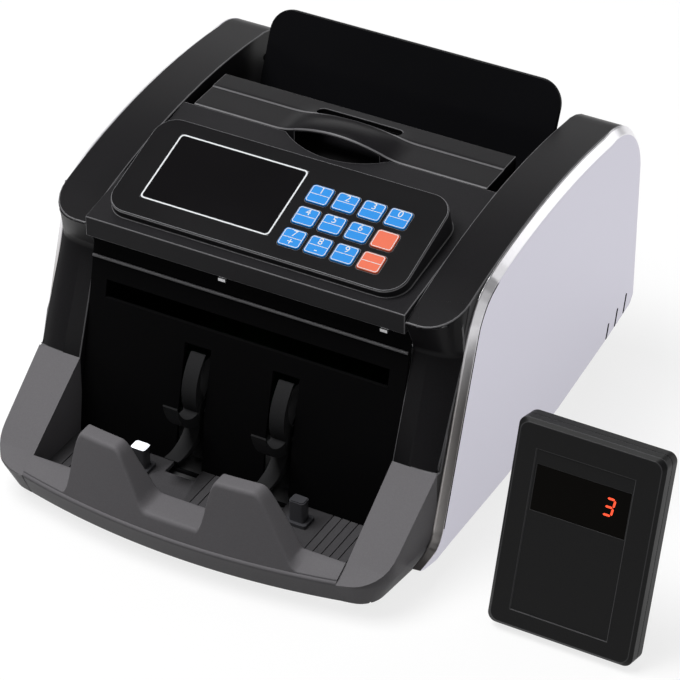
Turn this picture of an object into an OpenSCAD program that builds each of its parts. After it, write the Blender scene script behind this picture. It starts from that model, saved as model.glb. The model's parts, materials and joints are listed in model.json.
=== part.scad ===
/* [Case] */
// Overall width over the two side covers
case_w = 253; // [244:1:270]
// Distance from the datum to the foremost point of the apron
case_front = 157; // [152:1:165]
// Distance from the datum to the rear wall
case_rear = 153; // [148:1:165]
// Height of the crest of the arched top
crest_z = 165; // [162:0.5:172]
// Distance from the datum back to the crest
crest_y = 66; // [55:1:75]
// Radius of the arched top
crest_r = 430; // [400:5:480]
// Radius of the upper rear corner
rear_r = 42; // [36:1:54]
// Width of each black cheek between the pocket and the cover
cheek_w = 26; // [24:0.5:30]
// Thickness of the side covers
cover_t = 4.5; // [3.5:0.5:5.5]
// Width of the bright bevel round each cover
bevel_w = 4; // [2:0.5:5]
// Wall of the moulded cheeks
wall = 3; // [2.5:0.5:3.5]
// Height of the rubber feet
foot_h = 6; // [5.5:0.5:8]
// Radius of the rubber feet
foot_r = 9; // [6:0.5:11]
// Thickness of the steel base plate
sheet_t = 2.5; // [2:0.5:3]

/* [Stacker] */
// Height of the column foot above the counter
column_foot_z = 61.5; // [58:0.5:66]
// Distance from the datum forward to the column foot
column_foot_y = 85; // [84:0.5:90]
// Distance from the datum forward to the front lip of the panel
lip_y = 73; // [70:0.5:76]
// Forward bow of the apron across the pocket
bow = 11; // [6:0.5:14]
// Radius of the apron corners in plan
apron_corner_r = 22; // [16:1:24]
// Height of the front edge of the apron
apron_edge_z = 22; // [20:0.5:25]
// Height of the underside of the apron
apron_low_z = 5.5; // [4:0.5:6]
// Distance that the apron is drawn in below its edge
apron_undercut = 8; // [4:0.5:9]
// Distance from the datum forward to the front of the tray
tray_front = 133; // [131:0.5:136]
// Height of the ledge at the tray
ledge_z = 28.5; // [26:0.5:31]
// Height of the ribbed tray floor
tray_z = 15; // [14:0.5:17]
// Distance of each hump from the middle
hump_x = 41.8; // [38:0.2:46]
// Shift of both humps to the left
hump_shift = 3.8; // [0:0.2:6]
// Width of a hump at its top
hump_top_w = 26; // [18:1:30]
// Run of the steep left side of a hump
hump_steep = 7; // [5:0.5:10]
// Run of the ramped right side of a hump
hump_ramp = 21; // [14:0.5:24]
// Height of the hump tops
hump_z = 65; // [56:1:68]
// Height of the wall between the humps
valley_z = 33.5; // [31:0.5:40]
// Thickness of a hump at its top
hump_t = 9; // [6:0.5:12]

/* [Panel] */
// Height of the top of the front lip
lip_z = 146; // [144.5:0.5:148]
// Height of the face of the front lip
lip_h = 12; // [10:0.5:14]
// Slope of the housing between the cheeks
housing_slope = 9.2; // [8.6:0.1:9.8]
// Thickness of the housing plate
housing_t = 4; // [3:0.5:5]
// Slope of the control panel
panel_slope = 18.5; // [17:0.25:20]
// Width of the control panel
panel_w = 178; // [170:1:182]
// Length of the control panel along its slope
panel_len = 69; // [66:0.5:72]
// Radius of the corners of the control panel
panel_corner_r = 13; // [8:0.5:16]
// Distance of the panel from the lip along the slope
panel_start = 7; // [6:0.5:9]
// Thickness of the overlay
overlay_t = 0.8; // [0.6:0.1:1]
// Width of the display window
window_w = 77.6; // [70:0.2:79]
// Length of the display window along the slope
window_len = 46.3; // [40:0.1:48]
// Width of a key
key_w = 12.7; // [11:0.1:13]
// Length of a key along the slope
key_len = 11.7; // [10:0.1:13]
// Spacing of the keys both ways
key_pitch = 15.55; // [15.4:0.05:16]
// Gap round each key
key_gap = 0.3; // [0.2:0.05:0.4]
// Travel of a key
key_travel = 0.8; // [0.5:0.1:0.9]

/* [Hopper] */
// Distance from the datum back to the front of the top strip
strip_front = 30; // [28:0.5:32]
// Depth of the top strip
strip_d = 34.7; // [33:0.1:38]
// Width of the top strip
strip_w = 180; // [170:1:184]
// Height of the back rest of the hopper
rest_top_z = 180; // [172:1:186]
// Lean of the back rest
rest_lean = 23; // [20:0.5:25]
// Width of the back rest
rest_w = 182; // [170:1:188]
// Radius of the corners of the back rest
rest_corner_r = 14; // [6:1:20]
// Radius of the gap knob
knob_r = 11; // [8:0.5:13]

/* [Mechanism] */
// Radius of the running shafts
shaft_r = 3; // [2.5:0.25:3.5]
// Radial running clearance of the shafts
fit = 0.05; // [0.02:0.01:0.09]
// Radius of the stacker wheels at the vane tips
vane_r = 34.5; // [31:0.5:35]
// Vanes on each stacker wheel
vane_count = 6; // [4:1:8]
// Distance of each stacker wheel from the middle
vane_x = 27; // [24:0.5:32]
// Radius of the feed rollers
feed_r = 16; // [15:0.5:17]
// Radius of the drive rollers
drive_r = 14; // [12:0.5:15]
// Radius of the pinch rollers
pinch_r = 9; // [7:0.5:10]
// Radius of the motor can
motor_r = 18; // [14:0.5:19]
// Length of the motor can
motor_len = 50; // [40:1:56]

/* [Remote display] */
// Width of the remote display
remote_w = 82; // [74:1:90]
// Length of its face
remote_h = 115; // [106:1:120]
// Thickness of its case
remote_t = 15; // [13:0.5:18]
// Lean of its case
remote_lean = 16.2; // [14:0.2:18]
// Distance of its middle from the middle of the case
remote_x = 207.5; // [195:0.5:230]
// Distance from the datum forward to its face
remote_y = 114.5; // [100:0.5:120]

/* [Hidden] */
$fn = 48;
key_cols = 4;
key_rows = 3;

// Reach of cuts past the case, overlap of a cut with the face that it opens, and a thin slice
far = 400;
over = 1;
slice = 0.1;
// Clearance between faces that pass each other
ease = 0.3;

// Outline of the case
half_w = case_w / 2;
cheek_out = half_w - cover_t;
cheek_in = cheek_out - cheek_w;
cavity_in = cheek_in + wall;
rim_t = 2.5;
rim_w = 6;
cavity_out = cheek_out - rim_t;
floor_z = foot_h + sheet_t;
corner_y = case_rear - rear_r;
corner_z = arch_z(corner_y) - rear_r;
rear_plate_t = wall;

// Apron and arms
bow_r = (cheek_in * cheek_in + bow * bow) / (2 * bow);
arm_in = 1.5;
arm_out = cheek_out - arm_in;
apron_corner_x = arm_out - apron_corner_r;
apron_corner_y = bow_y(apron_corner_x) + apron_corner_r;

// Column: the round of its outer front fold at the foot and at the top
fold_low_r = 4;
fold_high_r = 19;
column_top = [-lip_y, arch_z(-lip_y)];
column_foot = [-column_foot_y, column_foot_z];
column_lean = atan((column_top[0] - column_foot[0]) / (column_top[1] - column_foot[1]));
column_len = norm(column_top - column_foot);

// Front edge of a cover at its foot and round its upper bend, from the column foot and the lip
cover_foot = [-3.6, 5];
cover_bend = [[19.2, -17], [21.6, -10.9], [26, -4.6], [30.5, 0.2], [36.4, 4.1], [43.7, 7.2]];
cover_top = 54.5;
cover_drop = 0.7;

// Lower edge of a cover: distance forward of the rear wall, and height
skirt = [[0, 36], [6, 29], [35, 23.4], [99, 14], [162, 9]];

// The case and its remote display share one frame, centred on the pair
inlet_flange_t = 2;
unit_x = -(remote_x + remote_w / 2 - half_w) / 2;
unit_y = (case_front - case_rear - inlet_flange_t) / 2;

// Control panel: its face starts a step above the lip
panel_step = 4;
panel_y = -lip_y - panel_step * sin(panel_slope);
panel_z = lip_z + panel_step * cos(panel_slope);
wedge_depth = 40;
wedge_wall = 2.5;
deck_t = 2;
lip_taper = 11;
lip_t = 5;
deck_low = -overlay_t - deck_t;
window_gap = 7.35;
group_w = window_w + window_gap + (key_cols - 1) * key_pitch + key_w;
window_x = (window_w - group_w) / 2;
window_s = panel_start + panel_len / 2 + 1.5;
module_margin = 2;
module_t = 4;

// Keys and the board below them
key_x0 = (key_w + group_w) / 2 - (key_cols - 1) * key_pitch - key_w;
key_s0 = panel_start + panel_len / 2 - 3.75 + (key_rows - 1) / 2 * key_pitch;
key_corner_r = 1.7;
key_flange = 0.8;
key_flange_t = 1.3;
key_proud = 0.8;
contact_h = 0.1;
contact_r = 3;
board_t = 1.6;
board_drop = 4.6;
board_top = deck_low - board_drop;
key_foot = board_top + key_travel + contact_h + 0.1;
post_x = key_w / 2 + key_flange + 1.75;
key_post_r = 1.5;
key_x1 = key_x0 + (key_cols - 1) * key_pitch;
key_s1 = key_s0 - (key_rows - 1) * key_pitch;
board_edge = 4;

// Shafts as (y, z)
wheel_at = [-75, 47];
drive_at = [5, 100];
feed_at = [72, 98];
motor_at = [40, 40];
pinch_gap = 0.4;
pinch_at = [drive_at[0], drive_at[1] - drive_r - pinch_r - pinch_gap];
retard_r = 8;
retard_w = 12;
retard_gap = 0.4;
retard_dir = [-0.8, 0.6];
retard_at = feed_at + (feed_r + retard_r + retard_gap) * retard_dir;

// Side frames and their bearings
frame_t = 2;
frame_in = cavity_in;
frame_out = frame_in + frame_t;
bearing_t = 2;
bearing_end = frame_out + bearing_t;
boss_wall = 3;
frame_front = -column_foot_y + wall + 1;
frame_rear = feed_at[0] + 22;
frame_top = feed_at[1] + 24;

// Belts and pulleys in three layers outside the right frame
belt_w = 2.2;
belt_t = 1.2;
pulley_w = 4;
pulley_flange_t = 0.6;
layer_gap = 1;
layer_x = [for (i = [0 : 2]) bearing_end + 1.2 + i * (pulley_w + layer_gap)];
motor_pulley_r = 6;
drive_main_r = 12;
drive_side_r = 9;
feed_pulley_r = 12;
wheel_drive_r = 5;
wheel_pulley_r = 5;
shaft_end = layer_x[2] + pulley_w + 0.5;
roller_rim = 5.5;
roller_dish = 0.8;
feed_x = 22;
feed_w = 14;
drive_x = [-60, -24, 24, 60];
drive_w = 12;

// Stacker wheels and the pocket
vane_w = 9;
hub_r = 9;
vane_root_r = 7;
vane_sweep = 46;
vane_root_t = 4;
vane_tip_t = 0.5;
first_angle = 195;
pocket_y = -column_foot_y - 3;
pocket_t = 2;
exit_low = drive_at[1] - 3;
exit_h = 10;
exit_in = 10;
floor_t = 2.5;

// Hopper and the deck behind it
strip_rear = strip_front + strip_d;
strip_t = 3;
hopper_z = feed_at[1] + 14;
rest_foot_y = 92;
rest_t = 3;
deck_z = hopper_z + 10;
knob_y = case_rear - 21;

// Boards on the base plate
post_h = 7;
post_r = 3;
post_in = 5;
board_z = floor_z + post_h;
main_low = [-85, -30];
main_high = [30, 84];
supply_low = [-88, case_rear - 57];
supply_high = [-10, case_rear - 13];
board_posts = [for (b = [[main_low, main_high], [supply_low, supply_high]], i = [0, 1], j = [0, 1])
  [i == 0 ? b[0][0] + post_in : b[1][0] - post_in, j == 0 ? b[0][1] + post_in : b[1][1] - post_in]];

// Fittings of the rear wall
rear_z = floor_z + 36.5;
inlet_x = -58;
inlet_w = 27;
inlet_h = 20;
switch_x = -24;
switch_w = 13;
switch_h = 19.2;
switch_gap = 0.4;
switch_wall = 1.2;
rocker_in = 2.5;
rocker_pin_r = 1;
rocker_tip = 10;
socket_x = 24;
socket_w = 13;
socket_h = 12;

// Remote display
remote_split = 8;
remote_corner_r = 5;
remote_bevel = 2;
remote_wall = 2;
field_left = 12.4;
field_right = 14.8;
field_low = 10.5;
field_top = 14.7;
field_d = 0.6;
glass_w = 52.4;
glass_h = 25;
glass_x = -0.8;
glass_low = 67.2;
board_in = 1;

function arch_z(y) = crest_z - crest_r + sqrt(crest_r * crest_r - (y - crest_y) * (y - crest_y));
function bow_y(x) = -case_front + bow_r - sqrt(bow_r * bow_r - x * x);
function housing_z(y) = lip_z + (y + lip_y) * tan(housing_slope);
function rest_y(z) = rest_foot_y + (z - hopper_z) * tan(rest_lean);

// Points of the arched top from y0 back to the rear corner, and round that corner
function top_points(y0, inset) = [for (i = [0 : 12])
  let (y = y0 + (corner_y - y0) * i / 12) [y, arch_z(y) - inset]];
function rear_points(inset) = [for (a = [80 : -10 : 0])
  [corner_y + (rear_r - inset) * cos(a), corner_z + (rear_r - inset) * sin(a)]];

// Lower edge of a cover, from the rear forward, drawn in by inset and lifted by up
function skirt_points(inset, up) = [for (i = [0 : len(skirt) - 1])
  [case_rear - skirt[i][0] - (i < 2 ? inset : 0), skirt[i][1] + up]];

// Outline of a cover, drawn in by inset
function cover_points(inset) = concat([
  [-column_foot_y + 1 + inset, floor_z + 1.5 + inset],
  [-column_foot_y + cover_foot[0] + inset, apron_edge_z + cover_foot[1]]],
  [for (i = [0 : len(cover_bend) - 1]) let (a = 19 + 57 * i / (len(cover_bend) - 1))
    [-lip_y + cover_bend[i][0] + inset * cos(a), lip_z + cover_bend[i][1] - inset * sin(a)]],
  top_points(-lip_y + cover_top, inset + cover_drop), rear_points(inset),
  skirt_points(inset, inset));

// Plan of the apron and the arms, drawn in by inset
function plan_points(inset) = concat(
  [for (a = [180 : 10 : 260]) [-apron_corner_x + (apron_corner_r - inset) * cos(a),
    apron_corner_y + (apron_corner_r - inset) * sin(a)]],
  [for (i = [-10 : 10]) let (x = cheek_in * i / 10) [x, bow_y(x) + inset]],
  [for (a = [280 : 10 : 360]) [apron_corner_x + (apron_corner_r - inset) * cos(a),
    apron_corner_y + (apron_corner_r - inset) * sin(a)]],
  [[arm_out - inset, -column_foot_y], [-arm_out + inset, -column_foot_y]]);

// Section of the carrying grip, risen by the share k of its full arch
function grip_points(z, rear, k) = [
  [strip_front - 3 * k, z - 4 + 10.4 * k], [strip_front - 3 * k, z + 0.4 + 7.2 * k],
  [strip_front + 3, z + 0.5 + 9.2 * k], [strip_front + 11, z + 1 + 9 * k],
  [rear, z + 1.4 + 3 * k], [rear, z - 2 + 3 * k]];

// Outline of one curved vane from the hub to its tip
function vane_edge(side, i, n) =
  let (t = i / n, r = vane_root_r + (vane_r - vane_root_r) * t, a = -vane_sweep * t,
    half = vane_root_t * (1 - t) + vane_tip_t)
  [r * cos(a) - side * half * sin(a), r * sin(a) + side * half * cos(a)];

// A point on the back of the remote display, u up its face
function back_at(u) = [(remote_t - slice) * cos(remote_lean) + u * sin(remote_lean),
  slice * sin(remote_lean) + u * cos(remote_lean)];

module unit() {
  translate([unit_x, unit_y, 0]) children();
}

// A slab along X with an outline in (y, z)
module side_slab(x0, x1, points) {
  translate([x0, 0, 0])
    rotate([90, 0, 90])
      linear_extrude(height = x1 - x0)
        polygon(points);
}

// A round bar along X at (y, z)
module rod_x(x0, x1, at, r) {
  translate([x0, at[0], at[1]])
    rotate([0, 90, 0])
      cylinder(h = x1 - x0, r = r);
}

// A box between two corners
module block(low, high) {
  translate(low) cube(high - low);
}

// A flat plate with round corners, centred in X and Y
module round_plate(w, d, r, h) {
  linear_extrude(height = h) {
    square([w - 2 * r, d], center = true);
    square([w, d - 2 * r], center = true);
    for (sx = [-1, 1], sy = [-1, 1])
      translate([sx * (w / 2 - r), sy * (d / 2 - r)]) circle(r = r);
  }
}

// The sloping face of the control panel: x across, y up the slope, z out of it
module on_panel() {
  translate([0, panel_y, panel_z])
    rotate([panel_slope, 0, 0])
      children();
}

// The place of every key on the panel
module on_keys() {
  for (c = [0 : key_cols - 1], r = [0 : key_rows - 1])
    translate([key_x0 + c * key_pitch, key_s0 - r * key_pitch, 0])
      children();
}

// The leaning case of the remote display: x across, y to the back, z up its face
module on_remote() {
  translate([remote_x, -remote_y, remote_t * sin(remote_lean)])
    rotate([-remote_lean, 0, 0])
      children();
}

// Base plate with air slots and the posts that carry the boards
module chassis() {
  wing_w = 12;
  wing_rear = case_rear - 41;
  slot_n = 6;
  slot_pitch = 24;
  slot_w = 12;
  slot_d = 4;
  slot_y = main_high[1] + 4;
  color("dimgray") unit() {
    difference() {
      union() {
        block([-cheek_in, -tray_front, foot_h], [cheek_in, case_rear - rear_plate_t, floor_z]);
        block([-cheek_in - wing_w, -column_foot_y + wall, foot_h],
          [cheek_in + wing_w, wing_rear, floor_z]);
      }
      for (i = [0 : slot_n - 1])
        translate([(i - (slot_n - 1) / 2) * slot_pitch - slot_w / 2, slot_y, foot_h - over])
          cube([slot_w, slot_d, sheet_t + 2 * over]);
    }
    for (at = board_posts)
      translate([at[0], at[1], floor_z]) cylinder(h = post_h, r = post_r);
  }
}

// Four rubber feet, each with a recess for its screw
module feet() {
  side_in = 14;
  front_in = 21;
  rear_in = 35;
  taper = 1;
  recess_r = 3.6;
  recess_d = 2.5;
  color("black") unit()
    for (side = [-1, 1], y = [-tray_front + front_in, case_rear - rear_in])
      translate([side * (cheek_in - side_in), y, 0])
        difference() {
          cylinder(h = foot_h, r1 = foot_r - taper, r2 = foot_r);
          translate([0, 0, -over]) cylinder(h = recess_d + over, r = recess_r);
        }
}

// A thin slice of the apron plan, kept in front of y_max
module plan_slice(z, inset, y_max) {
  translate([0, 0, z])
    linear_extrude(height = slice)
      intersection() {
        polygon(plan_points(inset));
        translate([-far, y_max - 2 * far]) square(2 * far);
      }
}

// Bowed apron with its two humps
module front_apron() {
  hollow_w = 116;
  hollow_d = 10;
  roof_t = 8;
  valley_in = 2.5;
  color("dimgray") unit()
    difference() {
      union() {
        intersection() {
          hull() {
            plan_slice(apron_edge_z - slice, 0, -tray_front);
            plan_slice(apron_low_z, apron_undercut, -tray_front);
            block([-cheek_in, -tray_front - 1, ledge_z - 1], [cheek_in, -tray_front, ledge_z]);
          }
          block([-cheek_in, -far, 0], [cheek_in, 0, far]);
        }
        for (side = [-1, 1]) hump(side * hump_x - hump_shift);
        intersection() {
          hull() {
            plan_slice(apron_edge_z - slice, 0, -tray_front - 1);
            plan_slice(valley_z - slice, valley_in, -tray_front - 1);
          }
          block([-hump_x - hump_shift, -far, 0], [hump_x - hump_shift, 0, far]);
        }
      }
      block([-hollow_w / 2, -tray_front - hollow_d, 0],
        [hollow_w / 2, -tray_front - wall, ledge_z - roof_t]);
    }
}

// One hump: its front follows the bow and its back slopes to the tray
module hump(x) {
  setback = 5;
  top_t = 2;
  hull() {
    intersection() {
      plan_slice(apron_edge_z - slice, 0, -tray_front - 1);
      block([x - hump_top_w / 2 - hump_steep, -far, 0], [x + hump_top_w / 2 + hump_ramp, 0, far]);
    }
    translate([x, bow_y(x) + setback + hump_t / 2, hump_z - top_t])
      round_plate(hump_top_w, hump_t, top_t, top_t);
  }
}

// Hollow side arm from the column foot down to the apron
module arm() {
  nose_drop = 12;
  difference() {
    intersection() {
      union() {
        hull() {
          plan_slice(apron_edge_z - slice, 0, -column_foot_y);
          plan_slice(apron_low_z, apron_undercut, -column_foot_y);
        }
        translate([0, 0, apron_edge_z - slice])
          linear_extrude(height = column_foot_z)
            polygon(plan_points(0));
      }
      side_slab(cheek_in, half_w, [[-column_foot_y, 0], [-column_foot_y, column_foot_z],
        [-tray_front, ledge_z], [-case_front, ledge_z - nose_drop], [-case_front, 0]]);
    }
    side_slab(cheek_in + wall, arm_out - apron_undercut - wall, [[-column_foot_y - wall, 0],
      [-column_foot_y - wall, column_foot_z - 2 * wall], [-tray_front, ledge_z - 2 * wall],
      [-tray_front, 0]]);
  }
}

module arm_right() {
  color("gray") unit() arm();
}

module arm_left() {
  color("gray") unit() mirror([1, 0, 0]) arm();
}

// What the round of the outer front fold takes off the column
module fold_cut() {
  high = column_len + fold_high_r;
  top_r = fold_low_r + (fold_high_r - fold_low_r) * high / column_len;
  translate([cheek_out, -column_foot_y, column_foot_z])
    rotate([-column_lean, 0, 0])
      difference() {
        hull()
          for (end = [[0, fold_low_r], [high, top_r]])
            translate([-end[1], -over, end[0]])
              cube([end[1] + over, end[1] + over, slice]);
        hull()
          for (end = [[-over, fold_low_r], [high + over, top_r]])
            translate([-end[1], end[1], end[0]])
              cylinder(h = slice, r = end[1], $fn = 32);
      }
}

// Hollow cheek: column, arched top, inner wall, and an outer rim that the cover seats on
module cheek() {
  shoulder = 24;
  hole = 2.5;
  difference() {
    side_slab(cheek_in, cheek_out, concat([[-column_foot_y, floor_z], column_foot],
      top_points(-lip_y, 0), rear_points(0), [[case_rear, floor_z]]));
    side_slab(cavity_in, cavity_out, concat(
      [[-column_foot_y + wall, 0], [-column_foot_y + wall, column_foot_z],
      [-lip_y + 21, lip_z - 20]],
      top_points(-lip_y + 21 + shoulder, wall), rear_points(wall), [[case_rear - wall, 0]]));
    side_slab(cavity_out - over, cheek_out + over, cover_points(rim_w));
    side_slab(cavity_in, cheek_out + over, concat([[case_rear + over, 0],
      [case_rear + over, skirt[0][1]]], skirt_points(0, 1),
      [[-column_foot_y - over, floor_z + 1.5], [-column_foot_y - over, 0]]));
    fold_cut();
    for (at = [wheel_at, drive_at, feed_at, pinch_at, retard_at, motor_at])
      rod_x(cheek_in - over, cavity_in + over, at, shaft_r + hole);
  }
}

module cheek_right() {
  color([0.1, 0.1, 0.11]) unit() cheek();
}

module cheek_left() {
  color([0.1, 0.1, 0.11]) unit() mirror([1, 0, 0]) cheek();
}

// Silver side cover with a bevelled edge, a toe beside the arm and three vents
module cover() {
  vent_w = 2;
  vent_len = 12.4;
  vent_lean = 16;
  vent_at = [case_rear - 15.5, 37.5];
  vent_step = [-11.4, -3.4];
  toe = [[-26.5, 18.3], [-19.6, 18.1], [-13.6, 18.7], [-8.9, 20.2], [-5.7, 22.8], [-2.5, 30],
    [5, 30], [5, 11.5], [-7, 10.5]];
  difference() {
    union() {
      hull() {
        side_slab(cheek_out, cheek_out + slice, cover_points(0));
        side_slab(half_w - slice, half_w, cover_points(bevel_w));
      }
      side_slab(cheek_out, half_w - 1, [for (p = toe) [p[0] - column_foot_y, p[1]]]);
    }
    for (i = [0 : 2])
      translate([cheek_out - over, vent_at[0] + i * vent_step[0], vent_at[1] + i * vent_step[1]])
        rotate([-vent_lean, 0, 0])
          block([0, -vent_w / 2, -vent_len / 2], [cover_t + 2 * over, vent_w / 2, vent_len / 2]);
  }
}

module cover_right() {
  color([0.85, 0.85, 0.88]) unit() cover();
}

module cover_left() {
  color([0.85, 0.85, 0.88]) unit() mirror([1, 0, 0]) cover();
}

// Tray floor with fine grooves, slots for the wheels and rails that stand on the base
module stacker_floor() {
  rail_w = 6;
  groove_pitch = 5;
  edge_in = 8;
  slot_w = vane_w + 9;
  slot_front = wheel_at[0] - 23;
  color([0.25, 0.25, 0.26]) unit() {
    difference() {
      block([-cheek_in, -tray_front, tray_z - floor_t], [cheek_in, pocket_y, tray_z]);
      for (side = [-1, 1])
        block([side * vane_x - slot_w / 2, slot_front, 0],
          [side * vane_x + slot_w / 2, 0, tray_z + over]);
      for (i = [-2 : 2])
        groove(i * groove_pitch);
      for (side = [-1, 1], i = [0 : 5])
        groove(side * (cheek_in - edge_in - i * groove_pitch));
    }
    for (side = [-1, 1])
      block([side * (cheek_in - rail_w / 2) - rail_w / 2, -tray_front, floor_z],
        [side * (cheek_in - rail_w / 2) + rail_w / 2, pocket_y, tray_z - floor_t]);
  }
}

module groove(x) {
  groove_w = 0.8;
  groove_d = 0.6;
  block([x - groove_w / 2, -tray_front - over, tray_z - groove_d],
    [x + groove_w / 2, pocket_y + over, tray_z + over]);
}

// Back wall of the pocket with slots for the wheels and the wide exit slot
module pocket_back() {
  top_y = -lip_y + lip_taper;
  top_z = housing_z(top_y) - housing_t / cos(housing_slope);
  slot_w = vane_w + 7;
  slot_top = wheel_at[1] + vane_r + 4.5;
  face = [[pocket_y, floor_z], [pocket_y, tray_z], [pocket_y + 4, wheel_at[1]],
    [pocket_y + 8, wheel_at[1] + 15]];
  color([0.12, 0.12, 0.12]) unit()
    difference() {
      side_slab(-cheek_in, cheek_in, concat(face, [[top_y, top_z],
        [top_y + pocket_t, top_z + pocket_t * tan(housing_slope)]],
        [for (i = [len(face) - 1 : -1 : 0]) face[i] + [pocket_t, 0]]));
      for (side = [-1, 1])
        block([side * vane_x - slot_w / 2, -far, floor_z + 2],
          [side * vane_x + slot_w / 2, 0, slot_top]);
      block([-cheek_in + exit_in, -far, exit_low], [cheek_in - exit_in, 0, exit_low + exit_h]);
    }
}

// The body of the control panel below its overlay, drawn in by inset and ending at z top
module wedge(inset, top) {
  on_panel()
    translate([0, panel_start + panel_len / 2, -wedge_depth])
      round_plate(panel_w - 2 * inset, panel_len - 2 * inset, panel_corner_r - inset, wedge_depth + top);
}

// Housing between the cheeks: lip, sloping plate and the raised wedge of the control panel
module panel_housing() {
  plate_low = housing_t / cos(housing_slope);
  taper_y = -lip_y + lip_taper;
  board_y = panel_y + (key_s1 - 1.5 * board_edge) * cos(panel_slope) - board_top * sin(panel_slope);
  hollow_y = min(taper_y + lip_t, board_y - board_ease);
  board_ease = 1.3;
  hollow_low = lip_z - 20;
  finger_r = 52;
  finger_in = 41;
  color([0.09, 0.09, 0.1]) unit() {
    difference() {
      union() {
        side_slab(-cheek_in, cheek_in, [[-lip_y, lip_z - lip_h], [-lip_y, lip_z],
          [strip_front, housing_z(strip_front)], [strip_front, housing_z(strip_front) - plate_low],
          [taper_y, housing_z(taper_y) - plate_low], [-lip_y + lip_t, lip_z - lip_h]]);
        intersection() {
          wedge(0, -overlay_t);
          side_slab(-cheek_in, cheek_in, [[-lip_y, lip_z - 1],
            [strip_front, housing_z(strip_front) - 1], [strip_front, far], [-lip_y, far]]);
        }
      }
      intersection() {
        wedge(wedge_wall, deck_low);
        side_slab(-cheek_in, cheek_in, [[-lip_y, lip_z], [-lip_y, far], [strip_front, far],
          [strip_front, hollow_low], [hollow_y, hollow_low], [hollow_y, housing_z(hollow_y)]]);
      }
      on_panel() panel_cuts();
      translate([0, strip_front + finger_in, lip_z - lip_h])
        cylinder(h = far, r = finger_r);
    }
    on_panel()
      for (x = [key_x0 - post_x, key_x1 + post_x + 0.35],
        s = [key_s1 - board_edge + 0.9, key_s0 + 2 * board_edge - 0.2])
        translate([x, s, board_top]) cylinder(h = board_drop, r = key_post_r);
  }
}

// Openings of the deck and the overlay for the window and the keys
module panel_cuts() {
  block([window_x - window_w / 2, window_s - window_len / 2, deck_low - over],
    [window_x + window_w / 2, window_s + window_len / 2, over]);
  on_keys()
    translate([0, 0, deck_low - over])
      round_plate(key_w + 2 * key_gap, key_len + 2 * key_gap, key_corner_r + key_gap,
        over - deck_low + over);
}

// Printed overlay of the control panel
module overlay() {
  overlay_in = 0.5;
  color([0.05, 0.05, 0.06]) unit()
    on_panel()
      difference() {
        translate([0, panel_start + panel_len / 2, -overlay_t])
          round_plate(panel_w - 2 * overlay_in, panel_len - 2 * overlay_in,
            panel_corner_r - overlay_in, overlay_t);
        panel_cuts();
      }
}

module display_window() {
  color([0.02, 0.02, 0.02]) unit()
    on_panel()
      block([window_x - window_w / 2, window_s - window_len / 2, deck_low],
        [window_x + window_w / 2, window_s + window_len / 2, 0]);
}

// Display module that carries the window from below
module display_module() {
  color("darkslategray") unit()
    on_panel()
      translate([0, 0, deck_low - module_t])
        block([window_x - window_w / 2 - module_margin, window_s - window_len / 2 - module_margin, 0],
          [window_x + window_w / 2 + module_margin, window_s + window_len / 2 + module_margin,
          module_t]);
}

// Key board under the deck, with one contact below each key
module panel_board() {
  color("darkgreen") unit()
    on_panel() {
      block([key_x0 - post_x - 2.2, key_s1 - 1.5 * board_edge, board_top - board_t],
        [key_x1 + post_x + board_edge, key_s0 + 3 * board_edge, board_top]);
      on_keys()
        translate([0, 0, board_top]) cylinder(h = contact_h, r = contact_r);
    }
}

// One key: a cap through the overlay, held by a flange under the deck
module key(k) {
  c = (k - 1) % key_cols;
  r = floor((k - 1) / key_cols);
  red = c == key_cols - 1 && r > 0;
  color(red ? "orangered" : "dodgerblue") unit()
    on_panel()
      translate([key_x0 + c * key_pitch, key_s0 - r * key_pitch, 0]) {
        translate([0, 0, key_foot])
          round_plate(key_w, key_len, key_corner_r, key_proud - key_foot);
        translate([0, 0, deck_low - ease - key_flange_t])
          round_plate(key_w + 2 * key_flange, key_len + 2 * key_flange, key_corner_r + ease,
            key_flange_t);
      }
}

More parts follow.
